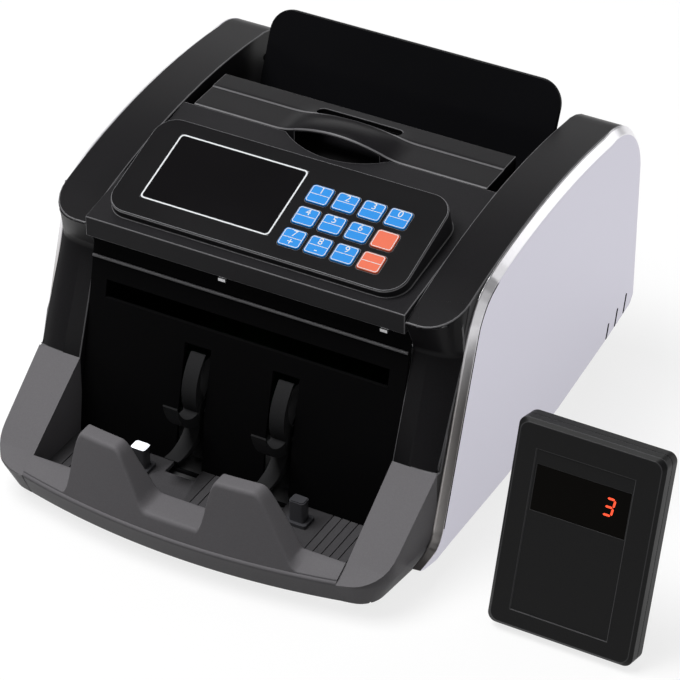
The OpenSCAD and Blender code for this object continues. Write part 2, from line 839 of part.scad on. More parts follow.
// Strip across the top with its carrying grip, finger bowl and the front wall of the hopper
module top_strip() {
  w = strip_w / 2;
  top_z = housing_z(strip_front);
  front_rise = 0.4;
  crease_rise = 1.4;
  rear_rise = 1.6;
  front_h = 5;
  crease_y = strip_front + 20;
  gate_z = hopper_z + 11;
  rib_h = 12;
  rib_t = 2;
  tab_h = 5;
  rib_in = 8;
  tab_in = 6;
  grip_ends = [[31.5, 0], [20, 0.62], [8, 1]];
  tunnel_ends = [[26, 0.6, 0.2], [8, 6.4, 5]];
  tunnel_out = 10;
  tunnel_in = 14;
  tunnel_low = 9;
  slot_w = 52;
  slot_in = 1;
  slot_d = 7.4;
  slot_h = 8;
  bowl_w = 70;
  bowl_drop = 17;
  bowl_h = 7;
  bowl_t = 2;
  bowl_front = strip_front - 14;
  color([0.11, 0.11, 0.12]) unit() {
    difference() {
      union() {
        side_slab(-w, w, [[strip_front, top_z - front_h], [strip_front, top_z + front_rise],
          [crease_y, top_z + crease_rise], [strip_rear, top_z + rear_rise], [strip_rear, gate_z],
          [strip_rear - strip_t, gate_z], [strip_rear - strip_t, top_z + rear_rise - strip_t],
          [strip_front + strip_t, top_z - strip_t], [strip_front + strip_t, top_z - front_h]]);
        for (side = [0, 1])
          mirror([side, 0, 0]) {
            block([w - rib_t, strip_front + strip_t, top_z - rib_h], [w, strip_rear - 1, top_z - 1]);
            block([w, strip_front + rib_in, top_z - rib_h],
              [cheek_in, strip_rear - tab_in, top_z - rib_h + tab_h]);
          }
        hull()
          for (end = grip_ends)
            side_slab(-end[0], end[0], grip_points(top_z, crease_y, end[1]));
      }
      hull()
        for (end = tunnel_ends)
          side_slab(-end[0], end[0], [[strip_front - tunnel_out, top_z - tunnel_low],
            [strip_front - tunnel_out, top_z + end[1]], [strip_front + tunnel_in, top_z + end[2]],
            [strip_front + tunnel_in, top_z - tunnel_low]]);
      block([-slot_w / 2, crease_y + slot_in, top_z - slot_h],
        [slot_w / 2, crease_y + slot_in + slot_d, top_z + slot_h]);
    }
    translate([0, 0, top_z - bowl_drop])
      difference() {
        block([-bowl_w / 2, bowl_front, 0], [bowl_w / 2, strip_rear - strip_t, bowl_h]);
        block([-bowl_w / 2 + bowl_t, bowl_front + bowl_t, bowl_t],
          [bowl_w / 2 - bowl_t, strip_rear - strip_t - bowl_t, bowl_h + over]);
      }
  }
}

// Floor of the hopper with slots for the feed rollers
module hopper_floor() {
  front_y = retard_at[0] + retard_r + 1;
  rest_seat = 6;
  side_gap = 1.5;
  color([0.14, 0.14, 0.14]) unit()
    difference() {
      block([-cheek_in, front_y, hopper_z - floor_t], [cheek_in, rest_foot_y + rest_seat, hopper_z]);
      for (side = [-1, 1])
        block([side * feed_x - feed_w / 2 - side_gap, front_y - over, hopper_z - floor_t - over],
          [side * feed_x + feed_w / 2 + side_gap, feed_at[0] + feed_r + 2, hopper_z + over]);
    }
}

// Back rest of the hopper, with round upper corners
module back_rest() {
  low_z = hopper_z + rest_t * sin(rest_lean);
  rest_len = (rest_top_z - low_z) / cos(rest_lean);
  color([0.05, 0.05, 0.05]) unit()
    translate([0, rest_y(low_z), low_z])
      rotate([90 - rest_lean, 0, 0])
        translate([0, rest_len / 2, -rest_t]) {
          round_plate(rest_w, rest_len, rest_corner_r, rest_t);
          translate([-rest_w / 2, -rest_len / 2, 0]) cube([rest_w, rest_len / 2, rest_t]);
        }
}

// Rear wall and deck behind the hopper, with cut-outs for the inlet, switch and socket
module rear_panel() {
  plate_t = 2.5;
  boss_r = 6;
  boss_h = 8;
  rest_back = rest_t / cos(rest_lean);
  color([0.1, 0.1, 0.1]) unit()
    difference() {
      union() {
        side_slab(-cheek_in, cheek_in, [[case_rear - rear_plate_t, foot_h],
          [case_rear - rear_plate_t, deck_z - plate_t],
          [rest_y(deck_z - plate_t) + rest_back, deck_z - plate_t],
          [rest_y(deck_z) + rest_back, deck_z], [case_rear, deck_z], [case_rear, foot_h]]);
        translate([0, knob_y, deck_z - boss_h]) cylinder(h = boss_h, r = boss_r);
      }
      rear_cut(inlet_x, inlet_w, inlet_h);
      rear_cut(switch_x, switch_w, switch_h);
      rear_cut(socket_x, socket_w, socket_h);
      translate([0, knob_y, deck_z - boss_h - over]) cylinder(h = boss_h + 2 * over, r = shaft_r + fit);
    }
}

module rear_cut(x, w, h) {
  block([x - w / 2, case_rear - rear_plate_t - over, rear_z - h / 2],
    [x + w / 2, case_rear + over, rear_z + h / 2]);
}

// Knurled knob that sets the feed gap, on its own spindle
module gap_knob() {
  knob_h = 12;
  spindle_low = 14;
  spindle_in = 2;
  ribs = 18;
  rib_r = 0.9;
  rib_out = 0.4;
  rib_low = 2;
  color([0.15, 0.15, 0.15]) unit()
    translate([0, knob_y, deck_z]) {
      translate([0, 0, -spindle_low]) cylinder(h = spindle_low + spindle_in, r = shaft_r);
      difference() {
        translate([0, 0, ease]) cylinder(h = knob_h, r = knob_r);
        for (i = [0 : ribs - 1])
          rotate([0, 0, i * 360 / ribs])
            translate([knob_r + rib_out, 0, rib_low]) cylinder(h = knob_h, r = rib_r);
      }
    }
}

// Steel side frame that carries the shafts in bearing bosses
module side_frame() {
  bearings = [wheel_at, drive_at, feed_at, pinch_at];
  shoulder_z = wheel_at[1] + 11;
  front_top = drive_at[0] - 55;
  motor_hole = 2;
  difference() {
    union() {
      side_slab(frame_in, frame_out, [[frame_front, floor_z], [frame_front, shoulder_z],
        [front_top, frame_top], [frame_rear, frame_top], [frame_rear, floor_z]]);
      for (at = bearings)
        rod_x(frame_in, bearing_end, at, shaft_r + boss_wall);
    }
    for (at = bearings)
      rod_x(frame_in - over, bearing_end + over, at, shaft_r + fit);
    rod_x(frame_in - over, frame_out + over, retard_at, shaft_r + fit);
    rod_x(frame_in - over, frame_out + over, motor_at, shaft_r + motor_hole);
    frame_window([[-40, 30], [-40, 70], [-16, 80], [-16, 30]]);
    frame_window([[64, 26], [64, 72], [84, 72], [84, 26]]);
  }
}

module frame_window(points) {
  side_slab(frame_in - over, frame_out + over, points);
}

module frame_right() {
  color("lightgray") unit() side_frame();
}

module frame_left() {
  color("lightgray") unit() mirror([1, 0, 0]) side_frame();
}

// A roller with a soft rim and dished ends, along X
module roller(x, at, r, w) {
  difference() {
    rod_x(x - w / 2, x + w / 2, at, r);
    rod_x(x - w / 2 - over, x + w / 2 + over, at, shaft_r);
    for (s = [-1, 1])
      rod_x(x + s * w / 2 - roller_dish, x + s * w / 2 + roller_dish, at, r - roller_rim);
  }
}

// A flanged pulley whose belt seat has radius r
module pulley(x, at, r) {
  difference() {
    union() {
      rod_x(x, x + pulley_w, at, r);
      for (i = [0, 1])
        translate([i * (pulley_w - pulley_flange_t), 0, 0])
          rod_x(x, x + pulley_flange_t, at, r + belt_t);
    }
    rod_x(x - over, x + pulley_w + over, at, shaft_r);
  }
}

// A flat belt round two pulleys, held clear of their seats
module belt(x, a, ra, b, rb) {
  x0 = x + (pulley_w - belt_w) / 2;
  difference() {
    hull() {
      rod_x(x0, x0 + belt_w, a, ra + ease + belt_t);
      rod_x(x0, x0 + belt_w, b, rb + ease + belt_t);
    }
    hull() {
      rod_x(x0 - over, x0 + belt_w + over, a, ra + ease);
      rod_x(x0 - over, x0 + belt_w + over, b, rb + ease);
    }
  }
}

module feed_shaft() {
  color("silver") unit() rod_x(-bearing_end, shaft_end, feed_at, shaft_r);
}

module feed_rollers() {
  color([0.2, 0.2, 0.2]) unit()
    for (side = [-1, 1]) roller(side * feed_x, feed_at, feed_r, feed_w);
}

module feed_pulley() {
  color("white") unit() pulley(layer_x[1], feed_at, feed_pulley_r);
}

// Fixed retard rollers on their bar, just clear of the feed rollers
module retard_rollers() {
  color([0.3, 0.3, 0.3]) unit() {
    rod_x(-frame_out, frame_out, retard_at, shaft_r);
    for (side = [-1, 1])
      rod_x(side * feed_x - retard_w / 2, side * feed_x + retard_w / 2, retard_at, retard_r);
  }
}

module drive_shaft() {
  color("silver") unit() rod_x(-bearing_end, shaft_end, drive_at, shaft_r);
}

module drive_rollers() {
  color([0.2, 0.2, 0.2]) unit()
    for (x = drive_x) roller(x, drive_at, drive_r, drive_w);
}

module drive_pulleys() {
  color("white") unit() {
    pulley(layer_x[0], drive_at, drive_main_r);
    pulley(layer_x[1], drive_at, drive_side_r);
    pulley(layer_x[2], drive_at, wheel_drive_r);
  }
}

// Idle pinch rollers under the drive rollers
module pinch_rollers() {
  color("silver") unit() {
    rod_x(-bearing_end, bearing_end, pinch_at, shaft_r);
    for (x = drive_x) rod_x(x - drive_w / 2, x + drive_w / 2, pinch_at, pinch_r);
  }
}

module wheel_shaft() {
  color("silver") unit() rod_x(-bearing_end, shaft_end, wheel_at, shaft_r);
}

// Two stacker wheels with flexible vanes
module stacker_wheels() {
  steps = 6;
  color([0.1, 0.1, 0.1]) unit()
    for (side = [-1, 1])
      translate([side * vane_x - vane_w / 2, wheel_at[0], wheel_at[1]])
        rotate([90, 0, 90])
          difference() {
            union() {
              cylinder(h = vane_w, r = hub_r);
              for (k = [0 : vane_count - 1])
                rotate([0, 0, first_angle + k * 360 / vane_count])
                  linear_extrude(height = vane_w)
                    polygon(concat([for (i = [0 : steps]) vane_edge(-1, i, steps)],
                      [for (i = [steps : -1 : 0]) vane_edge(1, i, steps)]));
            }
            translate([0, 0, -over]) cylinder(h = vane_w + 2 * over, r = shaft_r);
          }
}

module wheel_pulley() {
  color("white") unit() pulley(layer_x[2], wheel_at, wheel_pulley_r);
}

// Motor can, flanged to the inner wall of the right cheek
module motor() {
  cap_r = 7;
  cap_t = 4;
  ear = 5;
  ear_t = 2;
  ear_h = 12;
  color("gray") unit()
    difference() {
      union() {
        rod_x(cheek_in - motor_len, cheek_in, motor_at, motor_r);
        rod_x(cheek_in - motor_len - cap_t, cheek_in - motor_len, motor_at, cap_r);
        block([cheek_in - ear_t, motor_at[0] - motor_r - ear, motor_at[1] - ear_h / 2],
          [cheek_in, motor_at[0] + motor_r + ear, motor_at[1] + ear_h / 2]);
      }
      rod_x(cheek_in - motor_len + cap_t, cheek_in + over, motor_at, shaft_r + fit);
    }
}

module motor_rotor() {
  spindle_in = 5;
  color("silver") unit() {
    rod_x(cheek_in - motor_len + spindle_in, layer_x[0] + pulley_w + over, motor_at, shaft_r);
    pulley(layer_x[0], motor_at, motor_pulley_r);
  }
}

module belts() {
  color([0.1, 0.1, 0.1]) unit() {
    belt(layer_x[0], motor_at, motor_pulley_r, drive_at, drive_main_r);
    belt(layer_x[1], drive_at, drive_side_r, feed_at, feed_pulley_r);
    belt(layer_x[2], drive_at, wheel_drive_r, wheel_at, wheel_pulley_r);
  }
}

// Main board with its chips, a row of connectors and three capacitors
module main_board() {
  plug_pitch = 17;
  plug = [10, 7, 8];
  cap_pitch = 22;
  cap_r = 4;
  cap_h = 12;
  color("darkgreen") unit()
    translate([main_low[0], main_low[1], board_z]) {
      cube([main_high[0] - main_low[0], main_high[1] - main_low[1], board_t]);
      translate([35, 40, board_t]) cube([20, 20, 2.5]);
      translate([75, 50, board_t]) cube([16, 14, 2]);
      for (i = [0 : 5])
        translate([5 + plug_pitch * i, main_high[1] - main_low[1] - plug[1] - post_in, board_t]) cube(plug);
      for (i = [0 : 2])
        translate([15, 18 + cap_pitch * i, board_t]) cylinder(h = cap_h, r = cap_r);
    }
}

// Power supply with its transformer, heat sink and capacitors
module power_supply() {
  core_w = 30;
  core_d = 28;
  core_h = 24;
  core_in = 8;
  sink_t = 4;
  sink_d = 32;
  sink_h = 20;
  sink_x = 44;
  sink_in = 6;
  cap_x = 60;
  cap_in = 12;
  cap_pitch = 18;
  cap_r = 7;
  cap_h = 22;
  color("olive") unit()
    translate([supply_low[0], supply_low[1], board_z]) {
      cube([supply_high[0] - supply_low[0], supply_high[1] - supply_low[1], board_t]);
      translate([core_in, core_in, board_t]) cube([core_w, core_d, core_h]);
      translate([sink_x, sink_in, board_t]) cube([sink_t, sink_d, sink_h]);
      for (i = [0, 1])
        translate([cap_x, cap_in + cap_pitch * i, board_t]) cylinder(h = cap_h, r = cap_r);
    }
}

// Appliance inlet with three pins in its well
module power_inlet() {
  flange = 3;
  depth = 18;
  shell = 2;
  base_t = 3;
  pin = [2, 13, 5];
  color([0.08, 0.08, 0.08]) unit()
    translate([inlet_x, case_rear, rear_z]) {
      difference() {
        union() {
          block([-inlet_w / 2, -depth, -inlet_h / 2], [inlet_w / 2, 0, inlet_h / 2]);
          block([-inlet_w / 2 - flange, 0, -inlet_h / 2 - flange],
            [inlet_w / 2 + flange, inlet_flange_t, inlet_h / 2 + flange]);
        }
        block([-inlet_w / 2 + shell, -depth + base_t, -inlet_h / 2 + shell],
          [inlet_w / 2 - shell, inlet_flange_t + over, inlet_h / 2 - shell]);
      }
      for (at = [[-7, -2], [0, 2], [7, -2]])
        translate([at[0] - pin[0] / 2, base_t - depth - over, at[1] - pin[2] / 2]) cube(pin);
    }
}

// Body of the power switch, clipped into the rear wall
module switch_body() {
  depth = 15;
  flange = 1.5;
  color([0.08, 0.08, 0.08]) unit()
    translate([switch_x, case_rear, rear_z])
      difference() {
        union() {
          block([-switch_w / 2, -depth, -switch_h / 2], [switch_w / 2, 0, switch_h / 2]);
          block([-switch_w / 2 - flange, 0, -switch_h / 2 - flange],
            [switch_w / 2 + flange, flange, switch_h / 2 + flange]);
        }
        block([-switch_w / 2 + switch_wall, -depth + switch_wall, -switch_h / 2 + switch_wall],
          [switch_w / 2 - switch_wall, flange + over, switch_h / 2 - switch_wall]);
        rod_x(-switch_w, switch_w, [-rocker_in, 0], rocker_pin_r + fit);
      }
}

// Rocker of the power switch on its two pivot pins, tipped to off
module power_switch() {
  w = switch_w / 2 - switch_wall - switch_gap;
  h = switch_h / 2 - switch_wall - switch_gap;
  back = 4;
  front = 3.2;
  dip = 1.6;
  color([0.05, 0.05, 0.05]) unit()
    translate([switch_x, case_rear - rocker_in, rear_z])
      rotate([rocker_tip, 0, 0]) {
        side_slab(-w, w, [[-back, -h + 3], [front, -h + 1.2], [dip, 0], [front, h - 1.2], [-back, h - 3]]);
        rod_x(-switch_w / 2, switch_w / 2, [0, 0], rocker_pin_r);
      }
}

// Socket for the lead of the remote display
module remote_socket() {
  depth = 14;
  proud = 0.5;
  shell = 2;
  color([0.2, 0.2, 0.2]) unit()
    translate([socket_x, case_rear, rear_z])
      difference() {
        block([-socket_w / 2, -depth, -socket_h / 2], [socket_w / 2, proud, socket_h / 2]);
        block([-socket_w / 2 + shell, -depth + shell, -socket_h / 2 + shell],
          [socket_w / 2 - shell, proud + over, socket_h / 2 - shell]);
      }
}

// Two optical sensors that stand on the tray floor
module stack_sensors() {
  sensor_x = 49;
  sensor_out = 13;
  base_w = 13;
  base_d = 11;
  base_h = 2;
  head_w = 9;
  head_d = 7;
  head_h = 13;
  round_r = 1.5;
  color([0.3, 0.3, 0.32]) unit()
    for (side = [-1, 1])
      translate([side * sensor_x, pocket_y - sensor_out, tray_z]) {
        round_plate(base_w, base_d, round_r, base_h);
        translate([0, 0, base_h]) round_plate(head_w, head_d, round_r, head_h);
      }
}

// A plate of the remote display, from y0 to y1 behind its face and drawn in by inset
module remote_plate(y0, y1, inset) {
  translate([0, y1, remote_h / 2])
    rotate([90, 0, 0])
      round_plate(remote_w - 2 * inset, remote_h - 2 * inset, remote_corner_r, y1 - y0);
}

// Front shell of the remote display with a shallow field and the window opening
module remote_front() {
  w = remote_w / 2;
  color([0.1, 0.1, 0.1]) unit()
    on_remote()
      difference() {
        hull() {
          remote_plate(0, remote_bevel, remote_bevel);
          remote_plate(remote_bevel, remote_split, 0);
        }
        remote_plate(remote_wall + field_d, remote_split + over, remote_wall);
        block([-w + field_left, -over, field_low], [w - field_right, field_d, remote_h - field_top]);
        block([glass_x - glass_w / 2, -over, glass_low],
          [glass_x + glass_w / 2, remote_split, glass_low + glass_h]);
      }
}

// Rear shell of the remote display with the strut that it leans on
module remote_back() {
  strut_w = 30;
  strut_top = 56;
  strut_t = 10;
  strut_foot = 46;
  strut_tip = 7;
  color([0.1, 0.1, 0.1]) unit() {
    on_remote()
      difference() {
        remote_plate(remote_split, remote_t, 0);
        remote_plate(remote_split - over, remote_t - remote_wall, remote_wall);
      }
    translate([remote_x, -remote_y, 0])
      side_slab(-strut_w / 2, strut_w / 2, [back_at(strut_top), [strut_foot + strut_tip, 0],
        [strut_foot, 0], back_at(strut_top - strut_t)]);
  }
}

module remote_window() {
  color([0.03, 0.02, 0.02]) unit()
    on_remote()
      block([glass_x - glass_w / 2, field_d, glass_low],
        [glass_x + glass_w / 2, field_d + remote_wall, glass_low + glass_h]);
}

// Board of the remote display with its digit block behind the window
module remote_board() {
  board_y = remote_split - 1;
  board_low = 30;
  color("darkgreen") unit()
    on_remote() {
      block([glass_x - glass_w / 2 + board_in, field_d + remote_wall, glass_low + board_in],
        [glass_x + glass_w / 2 - board_in, board_y, glass_low + glass_h - board_in]);
      block([-remote_w / 2 + remote_wall, board_y, board_low],
        [remote_w / 2 - remote_wall, board_y + board_t, glass_low + glass_h + board_edge]);
    }
}

chassis();
feet();
front_apron();
arm_left();
arm_right();
cheek_left();
cheek_right();
cover_left();
cover_right();
stacker_floor();
pocket_back();
panel_housing();
overlay();
display_window();
display_module();
panel_board();
top_strip();
hopper_floor();
back_rest();
rear_panel();
gap_knob();
frame_left();
frame_right();
feed_shaft();
feed_rollers();
feed_pulley();
retard_rollers();
drive_shaft();
drive_rollers();
drive_pulleys();
pinch_rollers();
wheel_shaft();
stacker_wheels();
wheel_pulley();
motor();
motor_rotor();
belts();
main_board();
power_supply();
power_inlet();
switch_body();
power_switch();
remote_socket();
stack_sensors();
remote_front();
remote_back();
remote_window();
remote_board();
for (k = [1 : key_cols * key_rows])
  key(k);
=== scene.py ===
import json
import math
import bmesh
import bpy
from bpy.props import FloatProperty, FloatVectorProperty, IntProperty, PointerProperty
from mathutils import Matrix, Vector


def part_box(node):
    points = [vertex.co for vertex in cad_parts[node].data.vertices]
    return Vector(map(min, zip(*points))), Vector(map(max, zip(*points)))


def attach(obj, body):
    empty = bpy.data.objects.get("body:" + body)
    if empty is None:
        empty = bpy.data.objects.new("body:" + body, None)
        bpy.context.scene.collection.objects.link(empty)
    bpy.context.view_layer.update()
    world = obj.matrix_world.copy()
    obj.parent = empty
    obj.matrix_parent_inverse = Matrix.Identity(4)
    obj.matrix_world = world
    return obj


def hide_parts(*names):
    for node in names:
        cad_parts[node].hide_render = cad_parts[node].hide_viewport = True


bl_info = {
    "name": "Banknote counter",
    "version": (1, 0, 0),
    "blender": (4, 5, 0),
    "location": "View3D > Sidebar > Counter",
    "description": "Dresses the banknote counter and its remote display for rendering",
    "category": "Add Mesh",
}

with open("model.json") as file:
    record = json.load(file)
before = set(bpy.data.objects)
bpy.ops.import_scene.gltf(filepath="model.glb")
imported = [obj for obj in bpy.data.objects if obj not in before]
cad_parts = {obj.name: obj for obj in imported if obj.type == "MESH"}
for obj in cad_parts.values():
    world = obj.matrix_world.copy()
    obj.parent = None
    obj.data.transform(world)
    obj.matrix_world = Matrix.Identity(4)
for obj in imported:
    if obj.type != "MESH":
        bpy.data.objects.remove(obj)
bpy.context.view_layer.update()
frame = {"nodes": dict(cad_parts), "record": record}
MM = 0.001

# Shapes are drawn in millimetres from the middle of the counter at floor level, which is found
# from the boxes of its covers and rear wall
REAR_Y = 153
UNIT = Vector(((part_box("cover_left")[0].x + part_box("cover_right")[1].x) / 2,
               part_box("rear_panel")[1].y - REAR_Y * MM, 0))
TO_ROW = Matrix.Translation(UNIT) @ Matrix.Scale(MM, 4)

# A turn that sets an outline in Y and Z along X
SIDEWAYS = Matrix(((0, 0, 1, 0), (1, 0, 0, 0), (0, 1, 0, 0), (0, 0, 0, 1)))

# Face of the overlay on the sloping control panel, and the top strip behind it
PANEL_SLOPE = math.radians(18.5)
PANEL_FOOT = Vector((0, -73, 146))
OVERLAY_RISE = 4
PANEL = Matrix.Translation(PANEL_FOOT) @ Matrix.Rotation(PANEL_SLOPE, 4, "X") \
    @ Matrix.Translation((0, 0, OVERLAY_RISE))
STRIP_FRONT, STRIP_REAR = 30, 64.7
STRIP_Z = PANEL_FOOT.z + (STRIP_FRONT - PANEL_FOOT.y) * math.tan(math.radians(9.2))

# Leaning face of the remote display
REMOTE_LEAN = math.radians(16.2)
REMOTE_X, REMOTE_Y, REMOTE_DEPTH = 207.5, -114.5, 15
REMOTE = Matrix.Translation((REMOTE_X, REMOTE_Y, REMOTE_DEPTH * math.sin(REMOTE_LEAN))) \
    @ Matrix.Rotation(math.pi / 2 - REMOTE_LEAN, 4, "X")


# ---- properties

def length(name, description, default):
    return FloatProperty(name=name, description=description, default=default, min=0,
                         subtype="DISTANCE", unit="LENGTH")


def rounding(what, default):
    return length(what.capitalize() + " rounding", "Rounding of the edges of the " + what, default)


def colour(name, description, default):
    return FloatVectorProperty(name=name, description=description, default=default, size=3,
                               min=0, max=1, subtype="COLOR")


class CounterSizes(bpy.types.PropertyGroup):
    cheek_round: rounding("cheeks", 0.0006)
    arm_round: rounding("arms", 0.002)
    panel_round: rounding("panel housing and rear wall", 0.0005)
    overlay_round: rounding("overlay", 0.0003)
    pocket_round: rounding("pocket wall and hopper floor", 0.0003)
    strip_round: rounding("top strip, where it is cut", 0.0004)
    rest_round: rounding("back rest", 0.0008)
    key_round: rounding("keys", 0.0005)
    fitting_round: rounding("small fittings", 0.0004)
    remote_round: rounding("remote display", 0.0007)
    cover_band: length("Cover band", "Width of the bright bevel round the covers", 0.004)
    hump_height: length("Hump height", "Height of the hump tops above the ground", 0.065)
    hump_top: length("Hump top", "Width of a hump along its top", 0.0262)
    hump_steep: length("Hump steep side", "Run of the steep side of a hump", 0.0066)
    hump_ramp: length("Hump ramp", "Run of the ramped side of a hump", 0.0212)
    hump_spread: length("Hump spread", "Distance of each hump from their middle", 0.0418)
    hump_shift: length("Hump shift", "Distance of their middle left of the case's", 0.0038)
    valley_height: length("Valley height", "Height of the wall between the humps", 0.0335)
    window_line: length("Window line", "Width of the line printed round the window", 0.0009)
    key_line: length("Key line", "Width of the lines printed on the keys", 0.00038)
    numeral: length("Numeral", "Height of the numerals on the keys", 0.00416)
    key_sign: length("Key sign", "Height of the signs on the keys", 0.0046)
    digit_height: length("Digit height", "Height of the lit digit", 0.009)
    vane_count: IntProperty(name="Vanes", description="Vanes on each stacker wheel", default=6,
                            min=3, max=12)
    floor_size: length("Floor size", "Width of the floor under the counter", 20.0)


class CounterColours(bpy.types.PropertyGroup):
    case_black: colour("Case", "Black of the cheeks and the strip", (0.0105, 0.01, 0.0112))
    # The case edge colour is a painted highlight: the pale grey on the rounded edges of the
    # mouldings stands in for the light they catch.
    case_edge_highlight: colour("Case edge", "Rubbed edges of the mouldings", (0.13, 0.128, 0.134))
    # The overlay edge colour is a painted highlight on the overlay's rounded rim.
    overlay_edge_highlight: colour("Overlay edge", "Pale edge of the overlay", (0.22, 0.22, 0.23))
    housing_black: colour("Housing", "Black of the panel housing", (0.019, 0.0184, 0.0202))
    cover_silver: colour("Cover", "Silver paint of the covers", (0.675, 0.66, 0.75))
    cover_band: colour("Cover band", "Bright bevel of the covers", (0.9, 0.89, 0.92))
    # The low band colour is a painted shade: the bright bevel is darkened down the front, below the
    # bend where it catches the light.
    cover_band_painted_shade: colour("Low band", "Bevel down the front", (0.37, 0.352, 0.345))
    cover_seam: colour("Cover seam", "Dark seam inside the bevel", (0.02, 0.02, 0.022))
    tray_grey: colour("Tray", "Grey of the apron and the arms", (0.16, 0.1545, 0.163))
    tray_floor: colour("Tray floor", "Dark grey of the tray's floor", (0.068, 0.066, 0.07))
    # The pocket black is the black plastic darkened further with painted shade, for the pocket and
    # other recesses.
    recess_shade_black: colour("Pocket", "Black of the pocket wall", (0.0045, 0.0044, 0.0047))
    rest_gloss: colour("Back rest", "Gloss black of the back rest", (0.006, 0.006, 0.007))
    overlay_gloss: colour("Overlay", "Black of the overlay", (0.0095, 0.0092, 0.01))
    window_dark: colour("Window", "Tint of the display window", (0.005, 0.0045, 0.0052))
    remote_glass: colour("Remote window", "Tint of the remote's window", (0.003, 0.0025, 0.0018))
    sensor_clear: colour("Sensor", "Body of the stack sensors", (0.06, 0.06, 0.066))
    key_blue: colour("Blue key", "Blue of the keys", (0.028, 0.29, 0.8))
    key_red: colour("Red key", "Red of the keys", (0.86, 0.185, 0.102))
    steel: colour("Steel", "Plated steel inside", (0.55, 0.55, 0.56))
    rubber: colour("Rubber", "Rubber of rollers and feet", (0.02, 0.02, 0.021))
    white_plastic: colour("Pulley", "White of the pulleys", (0.72, 0.72, 0.69))
    board_green: colour("Board", "Green of the circuit boards", (0.012, 0.06, 0.024))
    fitting_black: colour("Fitting", "Black of the rear fittings", (0.014, 0.014, 0.015))
    remote_black: colour("Remote", "Black of the remote display", (0.0098, 0.0098, 0.0101))
    # The remote edge colour is a painted highlight on the bevels of the remote's front.
    remote_edge_highlight: colour("Remote edge", "Edges of the remote display", (0.048, 0.048, 0.05))
    print_white: colour("Print", "White of the lines and numerals", (0.78, 0.8, 0.82))
    lit_red: colour("Digit", "Red of the lit digit", (1.0, 0.085, 0.03))
    lit_white: colour("Lamp", "White of the lit sensor", (0.85, 0.86, 0.9))
    floor: colour("Floor", "Pale floor under the counter", (0.235, 0.235, 0.235))


def sizes():
    return bpy.context.scene.counter_sizes


def colours():
    return bpy.context.scene.counter_colours


# ---- shader groups

GROUPS = {}
MATERIALS = {}
BUMP_DEPTH = 0.00004


def setup(item, **settings):
    for key, value in settings.items():
        setattr(item, key, value)
    return item


def add(tree, kind, **settings):
    return setup(tree.nodes.new(kind), **settings)


def wire(tree, *pairs):
    """Link each output to its socket; a plain value is set on the socket itself."""
    for value, socket in pairs:
        if isinstance(value, bpy.types.NodeSocket):
            tree.links.new(value, socket)
        else:
            socket.default_value = value


def dial(node, **values):
    for label, value in values.items():
        node.inputs[label.replace("_", " ")].default_value = value


def math_node(tree, operation, first, second):
    node = add(tree, "ShaderNodeMath", operation=operation)
    wire(tree, (first, node.inputs[0]), (second, node.inputs[1]))
    return node.outputs["Value"]


def noise(tree, coordinates, scale, detail=2.0):
    node = add(tree, "ShaderNodeTexNoise")
    wire(tree, (coordinates, node.inputs["Vector"]), (scale, node.inputs["Scale"]),
         (detail, node.inputs["Detail"]))
    return node.outputs["Fac"]


def group_tree(name, inputs, outputs):
    """An empty shader group, with the sockets of its two ends."""
    tree = bpy.data.node_groups.new(name, "ShaderNodeTree")
    for label, value in inputs.items():
        kind = "NodeSocketFloat" if isinstance(value, float) else "NodeSocketColor"
        socket = tree.interface.new_socket(label, in_out="INPUT", socket_type=kind)
        socket.default_value = value
    for label in outputs:
        kind = "NodeSocketColor" if label == "Colour" else "NodeSocketFloat"
        tree.interface.new_socket(label, in_out="OUTPUT", socket_type=kind)
    return tree, add(tree, "NodeGroupInput").outputs, add(tree, "NodeGroupOutput").inputs


def surface_group(name, stretch, broad_scale, speck):
    """A group that breaks up colour and roughness, with a fine height for the bump."""
    tree, given, result = group_tree(
        name, {"Colour": (0.5, 0.5, 0.5, 1), "Mottle": 0.1, "Scale": 1200.0, "Roughness": 0.5,
               "Spread": 0.1}, ("Colour", "Roughness", "Height"))
    place = add(tree, "ShaderNodeTexCoord").outputs["Object"]
    mapping = add(tree, "ShaderNodeMapping")
    wire(tree, (place, mapping.inputs["Vector"]), (stretch, mapping.inputs["Scale"]))
    fine = noise(tree, mapping.outputs["Vector"], given["Scale"])
    broad = noise(tree, mapping.outputs["Vector"], broad_scale, 4.0)
    mixed = math_node(tree, "ADD", math_node(tree, "MULTIPLY", fine, speck),
                      math_node(tree, "MULTIPLY", broad, 1.0 - speck))
    swing = math_node(tree, "MULTIPLY", math_node(tree, "SUBTRACT", mixed, 0.5), given["Mottle"])
    factor = math_node(tree, "ADD", math_node(tree, "MULTIPLY", swing, 2.0), 1.0)
    tint = add(tree, "ShaderNodeVectorMath", operation="SCALE")
    rough = math_node(tree, "MULTIPLY", math_node(tree, "SUBTRACT", broad, 0.5), given["Spread"])
    wire(tree, (given["Colour"], tint.inputs["Vector"]), (factor, tint.inputs["Scale"]),
         (tint.outputs["Vector"], result["Colour"]),
         (math_node(tree, "ADD", rough, given["Roughness"]), result["Roughness"]),
         (fine, result["Height"]))
    return tree


def painted_fade_group():
    """A group that passes from one colour to another with height, for a painted shade low down."""
    tree, given, result = group_tree(
        "painted_height_fade", {"Low": (0.3, 0.3, 0.3, 1), "High": (0.9, 0.9, 0.9, 1), "From": 0.0,
                        "To": 0.1}, ["Colour"])
    place = add(tree, "ShaderNodeTexCoord").outputs["Object"]
    split = add(tree, "ShaderNodeSeparateXYZ")
    span = add(tree, "ShaderNodeMapRange", interpolation_type="SMOOTHSTEP")
    mixed = add(tree, "ShaderNodeMix", data_type="RGBA")
    factor, low, high = (mixed.inputs[i] for i in (0, 6, 7))  # the sockets that mix colours
    wire(tree, (place, split.inputs["Vector"]), (split.outputs["Z"], span.inputs["Value"]),
         (given["From"], span.inputs["From Min"]), (given["To"], span.inputs["From Max"]),
         (span.outputs["Result"], factor), (given["Low"], low), (given["High"], high),
         (mixed.outputs[2], result["Colour"]))
    return tree


